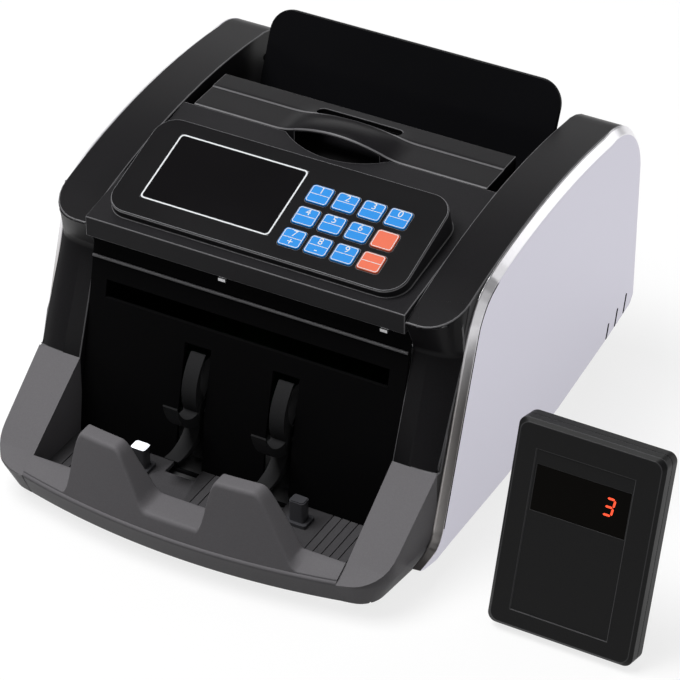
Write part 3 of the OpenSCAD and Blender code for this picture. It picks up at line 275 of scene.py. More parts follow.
def shader_groups():
    return {
        "painted_fade": painted_fade_group(),
        "moulded": surface_group("moulded_grain", (1, 1, 1), 24.0, 0.75),
        "polished": surface_group("polished_smears", (1, 2.5, 1), 14.0, 0.15),
        "painted": surface_group("painted_sheet", (1, 1, 1), 9.0, 0.5),
        "brushed": surface_group("brushed_metal", (0.06, 1, 1), 30.0, 0.6),
    }


def surface(name, group="moulded", mottle=0.2, scale=1200.0, roughness=0.5, spread=0.1, bump=0.2,
            level=0.5, metal=0.0, painted_fade=None, glow=None):
    """A material on one of the shared groups, in the colour of its own name."""
    base = (*getattr(colours(), name), 1)
    material = bpy.data.materials.new(name)
    material.use_nodes = True
    tree = material.node_tree
    principled = tree.nodes["Principled BSDF"]
    node = add(tree, "ShaderNodeGroup", node_tree=GROUPS[group])
    dial(node, Colour=base, Mottle=mottle, Scale=scale, Roughness=roughness, Spread=spread)
    dial(principled, Specular_IOR_Level=level, Metallic=metal)
    # A painted shade: the colour passes from a darker one low down to the base colour higher up.
    if painted_fade:
        low, start, end = painted_fade
        passing = add(tree, "ShaderNodeGroup", node_tree=GROUPS["painted_fade"])
        dial(passing, Low=(*low, 1), High=base, From=start, To=end)
        wire(tree, (passing.outputs["Colour"], node.inputs["Colour"]))
    if glow:
        lit, strength = glow
        dial(principled, Emission_Color=(*lit, 1), Emission_Strength=strength)
    wire(tree, (node.outputs["Colour"], principled.inputs["Base Color"]),
         (node.outputs["Roughness"], principled.inputs["Roughness"]))
    if bump:
        relief = add(tree, "ShaderNodeBump")
        dial(relief, Strength=bump, Distance=BUMP_DEPTH)
        wire(tree, (node.outputs["Height"], relief.inputs["Height"]),
             (relief.outputs["Normal"], principled.inputs["Normal"]))
    MATERIALS[name] = material


def make_materials():
    for name in ("case_black", "housing_black"):
        surface(name, mottle=0.5, scale=1500.0, roughness=0.36, bump=0.35, level=0.09)
    # Pale material for the rounded edges: a painted highlight.
    surface("case_edge_highlight", scale=1500.0, roughness=0.35, bump=0.1, level=0.3)
    # Pale material for the overlay's rim: a painted highlight.
    surface("overlay_edge_highlight", mottle=0.1, roughness=0.3, bump=0.05, level=0.3)
    surface("cover_silver", "painted", mottle=0.05, scale=2600.0, roughness=0.36, spread=0.08,
            bump=0.08, level=0.3, metal=0.85)
    # The bevel is darkened with painted shade below 85 mm and keeps its bright colour above 140 mm.
    surface("cover_band", "brushed", mottle=0.06, scale=900.0, roughness=0.30, bump=0.05, metal=1.0,
            painted_fade=(colours().cover_band_painted_shade, 0.085, 0.140))
    surface("cover_seam", roughness=0.42, bump=0.1, level=0.05)
    surface("tray_grey", mottle=0.16, scale=1300.0, roughness=0.42, bump=0.4, level=0.05)
    surface("tray_floor", mottle=0.3, scale=1300.0, roughness=0.6, bump=0.3, level=0.08)
    # A black darker than the case's: the black plastic with painted shade.
    surface("recess_shade_black", mottle=0.3, scale=1300.0, roughness=0.6, bump=0.3, level=0.015)
    surface("rest_gloss", "polished", roughness=0.16, bump=0.0, level=0.06)
    surface("overlay_gloss", "polished", mottle=0.15, roughness=0.24, bump=0.04, level=0.09)
    for name, level in (("window_dark", 0.11), ("remote_glass", 0.03)):
        surface(name, "polished", mottle=0.1, roughness=0.16, spread=0.06, bump=0.0, level=level)
    surface("sensor_clear", "polished", roughness=0.12, spread=0.05, bump=0.0)
    for name in ("key_blue", "key_red"):
        surface(name, mottle=0.06, scale=900.0, roughness=0.45, bump=0.08, level=0.12)
    surface("steel", "brushed", mottle=0.12, scale=700.0, roughness=0.34, spread=0.14, bump=0.08,
            metal=1.0)
    surface("rubber", mottle=0.3, scale=900.0, roughness=0.75, bump=0.3, level=0.15)
    surface("white_plastic", mottle=0.05, bump=0.1)
    surface("board_green", "polished", mottle=0.25, roughness=0.35, bump=0.05)
    surface("fitting_black", mottle=0.3, roughness=0.34, bump=0.12, level=0.3)
    surface("remote_black", mottle=0.5, scale=1600.0, roughness=0.45, bump=0.3, level=0.15)
    # Lighter material for the remote's bevels: a painted highlight.
    surface("remote_edge_highlight", roughness=0.35, bump=0.1, level=0.2)
    surface("print_white", mottle=0.05, bump=0.0, level=0.1)
    surface("lit_red", "polished", mottle=0.03, roughness=0.4, bump=0.0,
            glow=(colours().lit_red, 0.9))
    surface("lit_white", "polished", mottle=0.03, roughness=0.3, bump=0.0,
            glow=((0.9, 0.92, 1), 0.5))


# ---- geometry nodes

def copies_tree():
    """Painted copies of a shape in a row, turned evenly about X and by chance about Y."""
    tree = bpy.data.node_groups.new("row_of_copies", "GeometryNodeTree")
    for label, kind in (("Geometry", "Geometry"), ("Count", "Int"), ("Step", "Vector"),
                        ("Ring", "Float"), ("Turn", "Float"), ("Seed", "Int"),
                        ("Material", "Material")):
        tree.interface.new_socket(label, in_out="INPUT", socket_type="NodeSocket" + kind)
    tree.interface.new_socket("Geometry", in_out="OUTPUT", socket_type="NodeSocketGeometry")
    given, result = add(tree, "NodeGroupInput").outputs, add(tree, "NodeGroupOutput").inputs
    index = add(tree, "GeometryNodeInputIndex").outputs["Index"]
    place = add(tree, "ShaderNodeVectorMath", operation="SCALE")
    chance = add(tree, "FunctionNodeRandomValue", data_type="FLOAT")
    points, angle, euler, copies, realize, paint = (add(tree, kind) for kind in (
        "GeometryNodePoints", "ShaderNodeCombineXYZ", "FunctionNodeEulerToRotation",
        "GeometryNodeInstanceOnPoints", "GeometryNodeRealizeInstances", "GeometryNodeSetMaterial"))
    share = math_node(tree, "DIVIDE", index, given["Count"])
    wire(tree, (given["Step"], place.inputs["Vector"]), (index, place.inputs["Scale"]),
         (given["Count"], points.inputs["Count"]), (given["Seed"], chance.inputs["Seed"]),
         (place.outputs["Vector"], points.inputs["Position"]),
         (math_node(tree, "MULTIPLY", share, given["Ring"]), angle.inputs["X"]),
         (math_node(tree, "MULTIPLY", chance.outputs[1], given["Turn"]), angle.inputs["Y"]),
         (angle.outputs["Vector"], euler.inputs["Euler"]),
         (euler.outputs["Rotation"], copies.inputs["Rotation"]),
         (points.outputs["Points"], copies.inputs["Points"]),
         (given["Geometry"], copies.inputs["Instance"]),
         (copies.outputs["Instances"], realize.inputs["Geometry"]),
         (realize.outputs["Geometry"], paint.inputs["Geometry"]),
         (given["Material"], paint.inputs["Material"]),
         (paint.outputs["Geometry"], result["Geometry"]))
    return tree


def grown(shape, **inputs):
    """Copy a shape through the tree and give back the plain mesh."""
    tree = GROUPS["copies"]
    holder = linked("grown", shape)
    modifier = setup(holder.modifiers.new("grow", "NODES"), node_group=tree)
    sockets = {item.name: item.identifier for item in tree.interface.items_tree
               if item.in_out == "INPUT"}
    for label, value in inputs.items():
        modifier[sockets[label]] = value
    mesh = baked(holder)
    bpy.data.objects.remove(holder)
    return mesh


# ---- mesh helpers

WELD = 2e-6
FLAT = math.radians(0.6)
SMOOTH = 35.0


def linked(name, data):
    obj = bpy.data.objects.new(name, data)
    bpy.context.scene.collection.objects.link(obj)
    return obj


def as_mesh(name, shape, materials=()):
    mesh = bpy.data.meshes.new(name)
    shape.to_mesh(mesh)
    shape.free()
    for material in materials:
        mesh.materials.append(MATERIALS[material])
    return mesh


def baked(obj):
    """The mesh of an object after its modifiers, which are taken off."""
    bpy.context.view_layer.update()
    graph = bpy.context.evaluated_depsgraph_get()
    mesh = bpy.data.meshes.new_from_object(obj.evaluated_get(graph))
    obj.modifiers.clear()
    return mesh


def bake(obj):
    name = obj.data.name
    obj.data = baked(obj)
    obj.data.name = name


def shaded(mesh, angle):
    mesh.shade_smooth()
    mesh.set_sharp_from_angle(angle=math.radians(angle))


def face_out(shape):
    bmesh.ops.recalc_face_normals(shape, faces=shape.faces)


def painted(shape, index):
    for face in shape.faces:
        face.material_index = index
    return shape


def settle(obj, body, nodes=()):
    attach(obj, body)
    if nodes:
        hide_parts(*nodes)


def piece(name, shape, *materials, body="case", slot=None, nodes=(), place=TO_ROW, angle=SMOOTH):
    """A finished piece from a bmesh."""
    shape.transform(place)
    obj = linked(name, as_mesh(name, shape, materials))
    shaded(obj.data, angle)
    settle(obj, body, nodes)
    return obj


def dressed(node, width, material, body="case", angle=30.0, edge=None, tweak=None,
            cutters=()):
    """A copy of a CAD piece with rounded edges, in a material of their own if edge names one, which
    paints a pale highlight on them.
    """
    shape = bmesh.new()
    shape.from_mesh(frame["nodes"][node].data)
    shape.transform(frame["nodes"][node].matrix_world)
    bmesh.ops.remove_doubles(shape, verts=shape.verts, dist=WELD)
    bmesh.ops.dissolve_limit(shape, angle_limit=FLAT, verts=shape.verts, edges=shape.edges)
    if tweak:
        for vert in shape.verts:
            tweak(vert)
    name = node + "_dressed"
    obj = linked(name, as_mesh(name, painted(shape, 0), [material, edge] if edge else [material]))
    carved(obj, cutters, width, 1 if edge else -1, 3, angle)
    settle(obj, body, [node])


def carved(obj, cutters, width=0.0, index=-1, segments=2, angle=40.0, smooth=SMOOTH):
    """Cut shapes in millimetres out of a piece, then round its sharp edges."""
    holders = []
    for shape in cutters:
        face_out(shape)
        shape.transform(TO_ROW)
        holders.append(linked("cutter", as_mesh("cutter", shape)))
        setup(obj.modifiers.new("cut", "BOOLEAN"), operation="DIFFERENCE", solver="EXACT",
              object=holders[-1])
    if width:
        setup(obj.modifiers.new("round", "BEVEL"), width=width, segments=segments,
              limit_method="ANGLE", angle_limit=math.radians(angle), material=index,
              use_clamp_overlap=index < 0 or width > sizes().cheek_round)
    if obj.modifiers:
        bake(obj)
    for holder in holders:
        bpy.data.objects.remove(holder)
    shaded(obj.data, smooth)
    if width or cutters:
        obj.modifiers.new("even", "WEIGHTED_NORMAL").keep_sharp = True
        bake(obj)


def looped(items):
    """Each item with the next one, and the last with the first."""
    return list(zip(items, items[1:] + items[:1]))


def skin(shape, first, second):
    """Faces between two rings of vertices."""
    return [shape.faces.new((a, c, d, b)) for (a, b), (c, d) in looped(list(zip(first, second)))]


def section(x, points, rise=0.0):
    """A section of a loft, from points in Y and Z."""
    return [Vector((x, y, z + rise)) for y, z in points]


def loft(columns, shape=None, paint=None):
    """A closed skin over sections of equal length; paint picks the material of each face."""
    if shape is None:
        shape = bmesh.new()
    rings = [[shape.verts.new(point) for point in column] for column in columns]
    for strip, (first, second) in enumerate(zip(rings, rings[1:])):
        for i, face in enumerate(skin(shape, first, second)):
            face.material_index = paint(strip, i) if paint else 0
    shape.faces.new(rings[0])
    shape.faces.new(list(reversed(rings[-1])))
    face_out(shape)
    return shape


def drawn_in(corners, inset):
    """Corners (x, y, share) of a closed outline moved inwards by their share of the inset."""
    area = sum(a[0] * b[1] - b[0] * a[1] for a, b in looped(corners))
    normals = []
    for a, b in looped(corners):
        size = math.copysign(math.hypot(b[0] - a[0], b[1] - a[1]), area)
        normals.append(Vector(((a[1] - b[1]) / size, (b[0] - a[0]) / size)))
    moved = []
    for i, (x, y, share) in enumerate(corners):
        first, second = normals[i - 1], normals[i]
        shift = (first + second) * (inset * share / (1 + first.dot(second)))
        moved.append((x + shift.x, y + shift.y))
    return moved


def softened(corners, inset, step=3.5):
    """An outline drawn in, cut into short steps and eased at its corners."""
    moved = drawn_in(corners, inset)
    fine = []
    for i, start in enumerate(moved):
        j = (i + 1) % len(moved)
        count = max(1, math.ceil(math.dist(corners[i][:2], corners[j][:2]) / step))
        fine += [between(start, moved[j], k / count) for k in range(count)]
    for _ in range(2):
        fine = [between(a, b, t) for a, b in looped(fine) for t in (0.25, 0.75)]
    return fine


def between(first, second, share):
    return tuple(a + (b - a) * share for a, b in zip(first, second))


def smooth_step(value):
    t = min(max(value, 0.0), 1.0)
    return t * t * (3 - 2 * t)


def circle(radius, step, x=0.0, y=0.0):
    return [(x + radius * math.cos(math.radians(a)), y + radius * math.sin(math.radians(a)))
            for a in range(0, 360, step)]


def quarter(steps, start=0):
    return [math.radians(start + 90 * i / steps) for i in range(steps + 1)]


def round_outline(w, h, r):
    """A rectangle with round corners, about its middle."""
    return [(sx * (w / 2 - r) + r * math.cos(a), sy * (h / 2 - r) + r * math.sin(a))
            for start, sx, sy in ((0, 1, 1), (90, -1, 1), (180, -1, -1), (270, 1, -1))
            for a in quarter(6, start)]


def add_prism(shape, points, low, high, place=Matrix()):
    """A flat plate with the outline given, from z low to z high."""
    bottom = [shape.verts.new(place @ Vector((x, y, low))) for x, y in points]
    top = [shape.verts.new(place @ Vector((x, y, high))) for x, y in points]
    shape.faces.new(top)
    shape.faces.new(list(reversed(bottom)))
    skin(shape, bottom, top)


def add_frame(shape, outer, inner, low, high, place=Matrix()):
    """A flat ring between two outlines of equal length."""
    loops = [[shape.verts.new(place @ Vector((x, y, z))) for x, y in outline]
             for outline, z in ((outer, low), (outer, high), (inner, high), (inner, low))]
    for first, second in looped(loops):
        skin(shape, first, second)


def add_box(shape, low, high, place=Matrix()):
    (x0, y0, z0), (x1, y1, z1) = low, high
    add_prism(shape, [(x0, y0), (x1, y0), (x1, y1), (x0, y1)], z0, z1, place)


def add_lettering(shape, text, height, y, place):
    """Numerals or signs as thin plates, centred on (0, y)."""
    capital, thin = 0.7, 0.02  # height of a capital in the font, and half the plate's thickness
    holder = linked("lettering", setup(
        bpy.data.curves.new("lettering", "FONT"), body=text, size=height / capital,
        align_x="CENTER", align_y="CENTER", extrude=thin))
    mesh = baked(holder)
    mesh.transform(place @ Matrix.Translation((0, y, thin)))
    shape.from_mesh(mesh)
    bpy.data.objects.remove(holder)
    bpy.data.meshes.remove(mesh)


# ---- pieces

class COUNTER_OT_materials(bpy.types.Operator):
    """Build the shared node groups and every material"""
    bl_idname = "counter.materials"
    bl_label = "Materials"

    def execute(self, context):
        GROUPS.update(shader_groups(), copies=copies_tree())
        make_materials()
        return {"FINISHED"}


class COUNTER_OT_works(bpy.types.Operator):
    """Paint the CAD pieces, which the works inside show as they are"""
    bl_idname = "counter.works"
    bl_label = "Works"

    def execute(self, context):
        for part in frame["record"]["subparts"]:
            materials = frame["nodes"][part["node"]].data.materials
            materials.clear()
            materials.append(MATERIALS[part["material_slot"]])
        return {"FINISHED"}


ARCH_TOP, ARCH_MIDDLE, ARCH_RADIUS = 165, 66, 430
COVER_DROP = 0.7    # from the arch of the cheek to the top of the cover
COVER_ROUND = 42    # upper rear corner of the cover
VENTS, VENT_Y, VENT_Z, VENT_STEP = 3, 137.5, 37.5, Vector((0, -11.4, -3.4))
VENT_LEAN, VENT_WIDE, VENT_HIGH = math.radians(-16), 2, 12.4


def arch_z(y):
    """Height of the arched top of the cheeks."""
    return ARCH_TOP - ARCH_RADIUS + math.sqrt(ARCH_RADIUS ** 2 - (y - ARCH_MIDDLE) ** 2)


def cover_corners():
    """Corners of a cover from its side: toe, front edge, upper bend, arched top, rear and skirt."""
    points = [(-80, 9.9, 0.7), (-92, 10.6, 0.4), (-106, 14.8, 0.15), (-111.3, 18, 0.05),
              (-104.6, 18.3, 0.15), (-98.6, 18.9, 0.35), (-93.9, 20.3, 0.6), (-90.9, 22.9, 0.85)]
    points += [(y, z, 1) for y, z in ((-88.6, 27), (-53.8, 129), (-51.4, 135.1), (-47, 141.4),
                                      (-42.5, 146.2), (-36.6, 150.1), (-29.3, 153.2))]
    points += [(y, arch_z(y) - COVER_DROP, 1) for y in range(-18, 109, 6)]
    middle_y = REAR_Y - COVER_ROUND
    middle_z = arch_z(middle_y) - COVER_ROUND
    for a in range(86, -1, -4):
        points.append((middle_y + COVER_ROUND * math.cos(math.radians(a)),
                       middle_z + COVER_ROUND * math.sin(math.radians(a)), 1))
    skirt = ((REAR_Y, 36), (147, 29), (118, 23.4), (54, 14), (-9, 9))
    return points + [(y, z, 1) for y, z in skirt]


def seam_share(y, z):
    """The dark seam beside the bright bevel fades out towards the arch and the toe."""
    end_y, end_z = -22, 24
    return smooth_step((end_y - y) / 14) * smooth_step((z - end_z) / 10)


def column_cutter(sign):
    """What the column lacks under the rim of its top: a short undercut, then a leaning face."""
    inside, width, steps = 95, 28, 14
    rim_x, rim_y, rim_round, rim_depth = 103, -72.7, 19, 1.1
    foot_z, front_y = 61.2, -100
    columns = []
    for i in range(steps + 1):
        x = inside + width * i / steps
        back = 2 * (i / steps) ** 2 + 7 * (i / steps) ** 6
        turn = min(max((x - rim_x) / rim_round, 0), 1)
        rim = rim_y + rim_round * (1 - math.sqrt(1 - turn ** 2))
        top = arch_z(rim) - rim_depth
        points = [(rim, top)]
        points += [(y + back, z) for y, z in ((-64.3, 123.3), (-63.95, 121.75), (-63.85, 120.2),
                                              (-64.1, 118.7))]
        points += [(-85.1 + 0.25 * back, foot_z), (front_y, foot_z), (front_y, top)]
        columns.append(section(sign * x, points))
    return loft(columns)


class COUNTER_OT_case_sides(bpy.types.Operator):
    """Cheeks with their columns, and the silver covers with their bright bevel and vents"""
    bl_idname = "counter.case_sides"
    bl_label = "Case sides"

    def execute(self, context):
        for side, sign in (("left", -1), ("right", 1)):
            # The cheeks' rounded edges take the pale case edge colour, a painted highlight.
            dressed("cheek_" + side, sizes().cheek_round, "case_black", edge="case_edge_highlight",
                    cutters=[column_cutter(sign)])
            self.cover(side, sign)
        return {"FINISHED"}

    def cover(self, side, sign):
        band = sizes().cover_band / MM
        corners = cover_corners()
        outline = softened(corners, 0)
        # Inset, distance from the middle and depth of the seam: bevel, seam, flat side
        rings = ((0, 122, 0), (0, 122.4, 0), (0.15, 122.75, 0), (0.45, 123.05, 0),
                 (band - 0.5, 126.05, 0), (band - 0.15, 126.28, 0), (band, 126.34, 0),
                 (band + 0.1, 126.38, 0.4), (band + 0.9, 126.42, 0.4), (band + 1.0, 126.46, 0),
                 (band + 1.5, 126.5, 0))
        seam_start, seam_end = 6, 9
        columns = [[Vector((sign * (x - dip * seam_share(*point)), *point))
                    for point in softened(corners, inset)] for inset, x, dip in rings]

        def paint(strip, i):
            if strip < seam_start:
                return 1
            return 2 if strip < seam_end and seam_share(*outline[i]) > 0.5 else 0

        obj = piece("cover_" + side + "_skin", loft(columns, paint=paint), "cover_silver",
                    "cover_band", "cover_seam", slot="cover_silver", nodes=["cover_" + side])
        vents = bmesh.new()
        low, high = sorted((121 * sign, 128 * sign))
        for i in range(VENTS):
            place = Matrix.Translation(Vector((0, VENT_Y, VENT_Z)) + VENT_STEP * i) \
                @ Matrix.Rotation(VENT_LEAN, 4, "X") @ SIDEWAYS
            add_prism(vents, round_outline(VENT_WIDE, VENT_HIGH, 0.95), low, high, place)
        carved(obj, [painted(vents, 2)], smooth=28.0)


APRON_HALF, APRON_STEPS = 95.9, 300
APRON_REAR = -133       # inner face of the apron's low wall
WALL_LOW = 24.5         # height of the wall beside the humps
LEDGE_Z = 28.5          # height of the ledge behind the wall
LEDGE_ROUND = 2


def bow_y(x):
    """The front of the apron bows out between its ends."""
    front, half, bow = -157, 96, 11
    radius = (half ** 2 + bow ** 2) / (2 * bow)
    return front + radius - math.sqrt(radius ** 2 - x * x)


def hump_profile(x):
    """Height of the front wall: two humps, each with a steep and a ramped side."""
    s = sizes()
    top, half_top = s.hump_height / MM, s.hump_top / MM / 2
    left = -(s.hump_shift + s.hump_spread) / MM
    right = (s.hump_spread - s.hump_shift) / MM
    height = s.valley_height / MM if left < x < right else WALL_LOW
    for centre in (left, right):
        short = max(centre - half_top - x, 0) * MM / s.hump_steep
        past = max(x - centre - half_top, 0) * MM / s.hump_ramp
        height = max(height, top - (top - WALL_LOW) * (short + past))
    return height


def apron_column(x):
    """Section of the apron from its foot up the front wall, over the ledge and down the rear."""
    samples = [hump_profile(x + d) for d in (-2.4, -1.6, -0.8, 0, 0.8, 1.6, 2.4)]
    top = sum(samples) / len(samples)
    share = min(max((top - LEDGE_Z) / (sizes().hump_height / MM - LEDGE_Z), 0.0), 1.0)
    y = bow_y(x)

    def wall_y(z):
        return y + 1.3 + 5 * (z - 22) / 42

    foot = ((8, 5.5), (6, 9.4), (2.8, 16), (0.9, 20.2), (0.2, 21.4), (0.25, 22.3), (0.7, 22.9))
    points = [(y + back, z) for back, z in foot] + [(wall_y(23.4), 23.3)]
    r = 2.6 if top > 30 else 1.0 + 1.6 * max(top - WALL_LOW, 0) / 5.5
    wall_z, crown_z = 23.6, max(top - r, 23.7)
    heights = [wall_z + (crown_z - wall_z) * i / 6 for i in range(1, 7)]
    points += [(wall_y(z), z) for z in heights]
    crown_y = wall_y(crown_z)
    for a in quarter(5)[1:]:
        points.append((crown_y + r * (1 - math.cos(a)), crown_z + (top - crown_z) * math.sin(a)))
    ledge = max(top, LEDGE_Z)
    low_rear, hump_rear = APRON_REAR - 0.4, y + 16.8
    rear_y = low_rear + (hump_rear - low_rear) * share
    front = points[-1]
    points += [between(front, (rear_y - LEDGE_ROUND, ledge), i / 4) for i in range(1, 4)]
    for a in quarter(5):
        points.append((rear_y - LEDGE_ROUND * (1 - math.sin(a)),
                       ledge - LEDGE_ROUND * (1 - math.cos(a))))
    start, end = points[-1], (APRON_REAR, min(23.5, ledge - 6.2))
    points += [between(start, end, i / 4) for i in range(1, 5)]
    points.append((APRON_REAR, 9))
    return section(x, points)


def spread_foot(vert):
    """Bring the side of an arm out to the cover, and its foot towards the cover's toe."""
    side, foot_z, front, run = 105, 8, -128, 40
    x, y, z = (vert.co - UNIT) / MM
    if abs(x) > side:
        out = 4 if z < foot_z else 1.6
        vert.co.x += math.copysign(out * MM * smooth_step((y - front) / run), x)


class COUNTER_OT_apron(bpy.types.Operator):
    """Front apron with its two humps, and the arms on either side of the tray"""
    bl_idname = "counter.apron"
    bl_label = "Apron and arms"

    def execute(self, context):
        xs = [APRON_HALF * (2 * i / APRON_STEPS - 1) for i in range(APRON_STEPS + 1)]
        piece("apron", loft([apron_column(x) for x in xs]), "tray_grey", slot="tray_grey",
              nodes=["front_apron"], angle=50.0)
        for side in ("left", "right"):
            dressed("arm_" + side, sizes().arm_round, "tray_grey", angle=40.0, tweak=spread_foot)
        return {"FINISHED"}


BEAD_HALF, BEAD_Y, BEAD_Z = 95.5, -67.9, 119
WHEEL_X, WHEEL_Y, WHEEL_Z = 27, -75, 47
VANE_STEPS, VANE_HALF = 14, 4.45
HUB_RADIUS, HUB_BORE, HUB_HALF = 9, 3, 5
SENSOR_X, SENSOR_Y, SENSOR_NECK = 49, -101, 29.35
# Base, body and head of a sensor: width, depth, corner, foot and top
SENSOR_STEPS = ((13, 11, 1.5, 15, 17), (9, 7, 1.5, 17, 29.4), (8, 6, 1.3, 29.3, 30))


def vane_point(t, edge):
    """A point along one edge of a curved vane, from its root at 0 to its tip at 1."""
    root, reach, start, sweep = 7, 27.4, 195, 46
    r, a = root + reach * t, math.radians(start - sweep * t)
    half = edge * (4 * (1 - t) + 0.5)
    return r * math.cos(a) - half * math.sin(a), r * math.sin(a) + half * math.cos(a)


class COUNTER_OT_stacker(bpy.types.Operator):
    """Tray floor, pocket wall, stacker wheels and stack sensors"""
    bl_idname = "counter.stacker"
    bl_label = "Stacker"

    def execute(self, context):
        dressed("stacker_floor", 0, "tray_floor")
        # The pocket wall takes the black darkened with painted shade.
        dressed("pocket_back", sizes().pocket_round, "recess_shade_black")
        # A thin bead along the exit slot in the pale case edge colour: a painted highlight line.
        bead = circle(0.9, 30, BEAD_Y, BEAD_Z)
        piece("exit_bead", loft([section(x, bead) for x in (-BEAD_HALF, BEAD_HALF)]), "case_edge_highlight",
              slot="tray_floor")
        self.wheels()
        self.sensors()
        return {"FINISHED"}

    def wheels(self):
        steps = [i / VANE_STEPS for i in range(VANE_STEPS + 1)]
        outline = [vane_point(t, -1) for t in steps] + [vane_point(t, 1) for t in reversed(steps)]
        vane, hubs, shape = bmesh.new(), bmesh.new(), bmesh.new()
        for x in (-WHEEL_X, WHEEL_X):
            place = Matrix.Scale(MM, 4) @ Matrix.Translation((x, 0, 0)) @ SIDEWAYS
            add_prism(vane, outline, -VANE_HALF, VANE_HALF, place)
            add_frame(hubs, circle(HUB_RADIUS, 10), circle(HUB_BORE, 10), -HUB_HALF, HUB_HALF,
                      place)
        face_out(vane)
        face_out(hubs)
        shape.from_mesh(grown(as_mesh("vane", vane), Count=sizes().vane_count, Ring=2 * math.pi,
                              Material=MATERIALS["rubber"]))
        shape.from_mesh(as_mesh("hubs", hubs))
        piece("vaned_wheels", shape, "rubber", body="stacker_train", slot="rubber",
              nodes=["stacker_wheels"],
              place=Matrix.Translation(TO_ROW @ Vector((0, WHEEL_Y, WHEEL_Z))))

    def sensors(self):
        for name, x, head, nodes in (("sensor_left", -SENSOR_X, "lit_white", []),
                                     ("sensor_right", SENSOR_X, "sensor_clear", ["stack_sensors"])):
            shape = bmesh.new()
            for wide, deep, corner, low, high in SENSOR_STEPS:
                add_prism(shape, round_outline(wide, deep, corner), low, high,
                          Matrix.Translation((x, SENSOR_Y, 0)))
            for face in shape.faces:
                face.material_index = 1 if face.calc_center_median().z > SENSOR_NECK else 0
            piece(name, shape, "sensor_clear", head, slot="sensor_clear", nodes=nodes)


WINDOW_X, WINDOW_Y, WINDOW_WIDE, WINDOW_HIGH = -33.35, 43.0, 77.6, 46.3
CLIPS, CLIP_HALF, CLIP_LOW = (-12.1, 84), 2.1, 131.8


class COUNTER_OT_panel(bpy.types.Operator):
    """Control panel: housing, overlay, display window, the line round it and the lip's clips"""
    bl_idname = "counter.panel"
    bl_label = "Control panel"

    def execute(self, context):
        # The housing's rounded edges take the pale case edge colour, a painted highlight.
        dressed("panel_housing", sizes().panel_round, "housing_black",
                edge="case_edge_highlight")
        # The overlay's rim takes its own pale colour, a painted highlight.
        dressed("overlay", sizes().overlay_round, "overlay_gloss", edge="overlay_edge_highlight")
        dressed("display_window", 0, "window_dark")
        line = sizes().window_line / MM
        shape = bmesh.new()
        add_frame(shape, round_outline(WINDOW_WIDE + line, WINDOW_HIGH + line, 2.6),
                  round_outline(WINDOW_WIDE - line, WINDOW_HIGH - line, 1.9), 0.0, 0.05,
                  PANEL @ Matrix.Translation((WINDOW_X, WINDOW_Y, 0)))
        face_out(shape)
        piece("window_line", shape, "print_white")
        shape = bmesh.new()
        for x in CLIPS:
            for front, rear, high in ((-73.4, -72.4, 133.5), (-72.4, -71.6, 134.3)):
                add_box(shape, (x - CLIP_HALF, front, CLIP_LOW), (x + CLIP_HALF, rear, high))
        piece("lip_clips", shape, "steel")
        return {"FINISHED"}


KEY_X, KEY_Y, KEY_PITCH, KEY_RISE = 19.15, 53.3, 15.55, 0.8
KEY_WIDE, KEY_HIGH = 11.9, 10.9     # the outline printed on a key
KEY_ROW = 2.8                       # from the divider to the numeral above it or the sign below
DIVIDER_HALF, PRINT = 5.7, 0.03
NUMERALS = ("1", "2", "3", "0", "4", "5", "6", "", "7", "8", "9", "")
SIGNS = {9: "+", 10: "-"}
RED_KEYS, UNDIVIDED_KEY = (8, 12), 8


class COUNTER_OT_keys(bpy.types.Operator):
    """Twelve keys with their printed outlines, dividers and numerals"""
    bl_idname = "counter.keys"
    bl_label = "Keys"

    def execute(self, context):
        line = sizes().key_line / MM
        for k, numeral in enumerate(NUMERALS, 1):
            node = "key_%d" % k
            dressed(node, sizes().key_round, "key_red" if k in RED_KEYS else "key_blue", body=node)
            row, column = divmod(k - 1, 4)
            place = PANEL @ Matrix.Translation(
                (KEY_X + column * KEY_PITCH, KEY_Y - row * KEY_PITCH, KEY_RISE))
            shape = bmesh.new()
            add_frame(shape, round_outline(KEY_WIDE, KEY_HIGH, 1.4),
                      round_outline(KEY_WIDE - 2 * line, KEY_HIGH - 2 * line, 1.1),
                      0.0, PRINT, place)
            if k != UNDIVIDED_KEY:
                add_box(shape, (-DIVIDER_HALF, -line / 2, 0), (DIVIDER_HALF, line / 2, PRINT),
                        place)
            face_out(shape)
            if numeral:
                add_lettering(shape, numeral, sizes().numeral / MM, KEY_ROW, place)
            if k in SIGNS:
                add_lettering(shape, SIGNS[k], sizes().key_sign / MM, -KEY_ROW, place)
            piece(node + "_print", shape, "print_white", body=node)
        return {"FINISHED"}


STRIP_HALF = 90
GRIP_RISE = 7.6     # height of the grip's front edge above the strip
GRIP_FLANK = 28     # where the crown of the grip passes into its hollow foot
GRIP_SPAN, GRIP_END, GRIP_FOOT = 33, 38.9, 0.00236
BOWL_Y, BOWL_DROP, BOWL_WIDE, BOWL_DEEP, BOWL_WALL = 38.85, 17, 68, 43.7, 2
PIVOT_Y, PIVOT_Z = 118.1, 145.7


def grip_share(x):
    """How far the top strip has risen into the carrying grip."""
    d = abs(x)
    return 1 - (d / GRIP_SPAN) ** 2 if d < GRIP_FLANK else GRIP_FOOT * max(GRIP_END - d, 0) ** 2


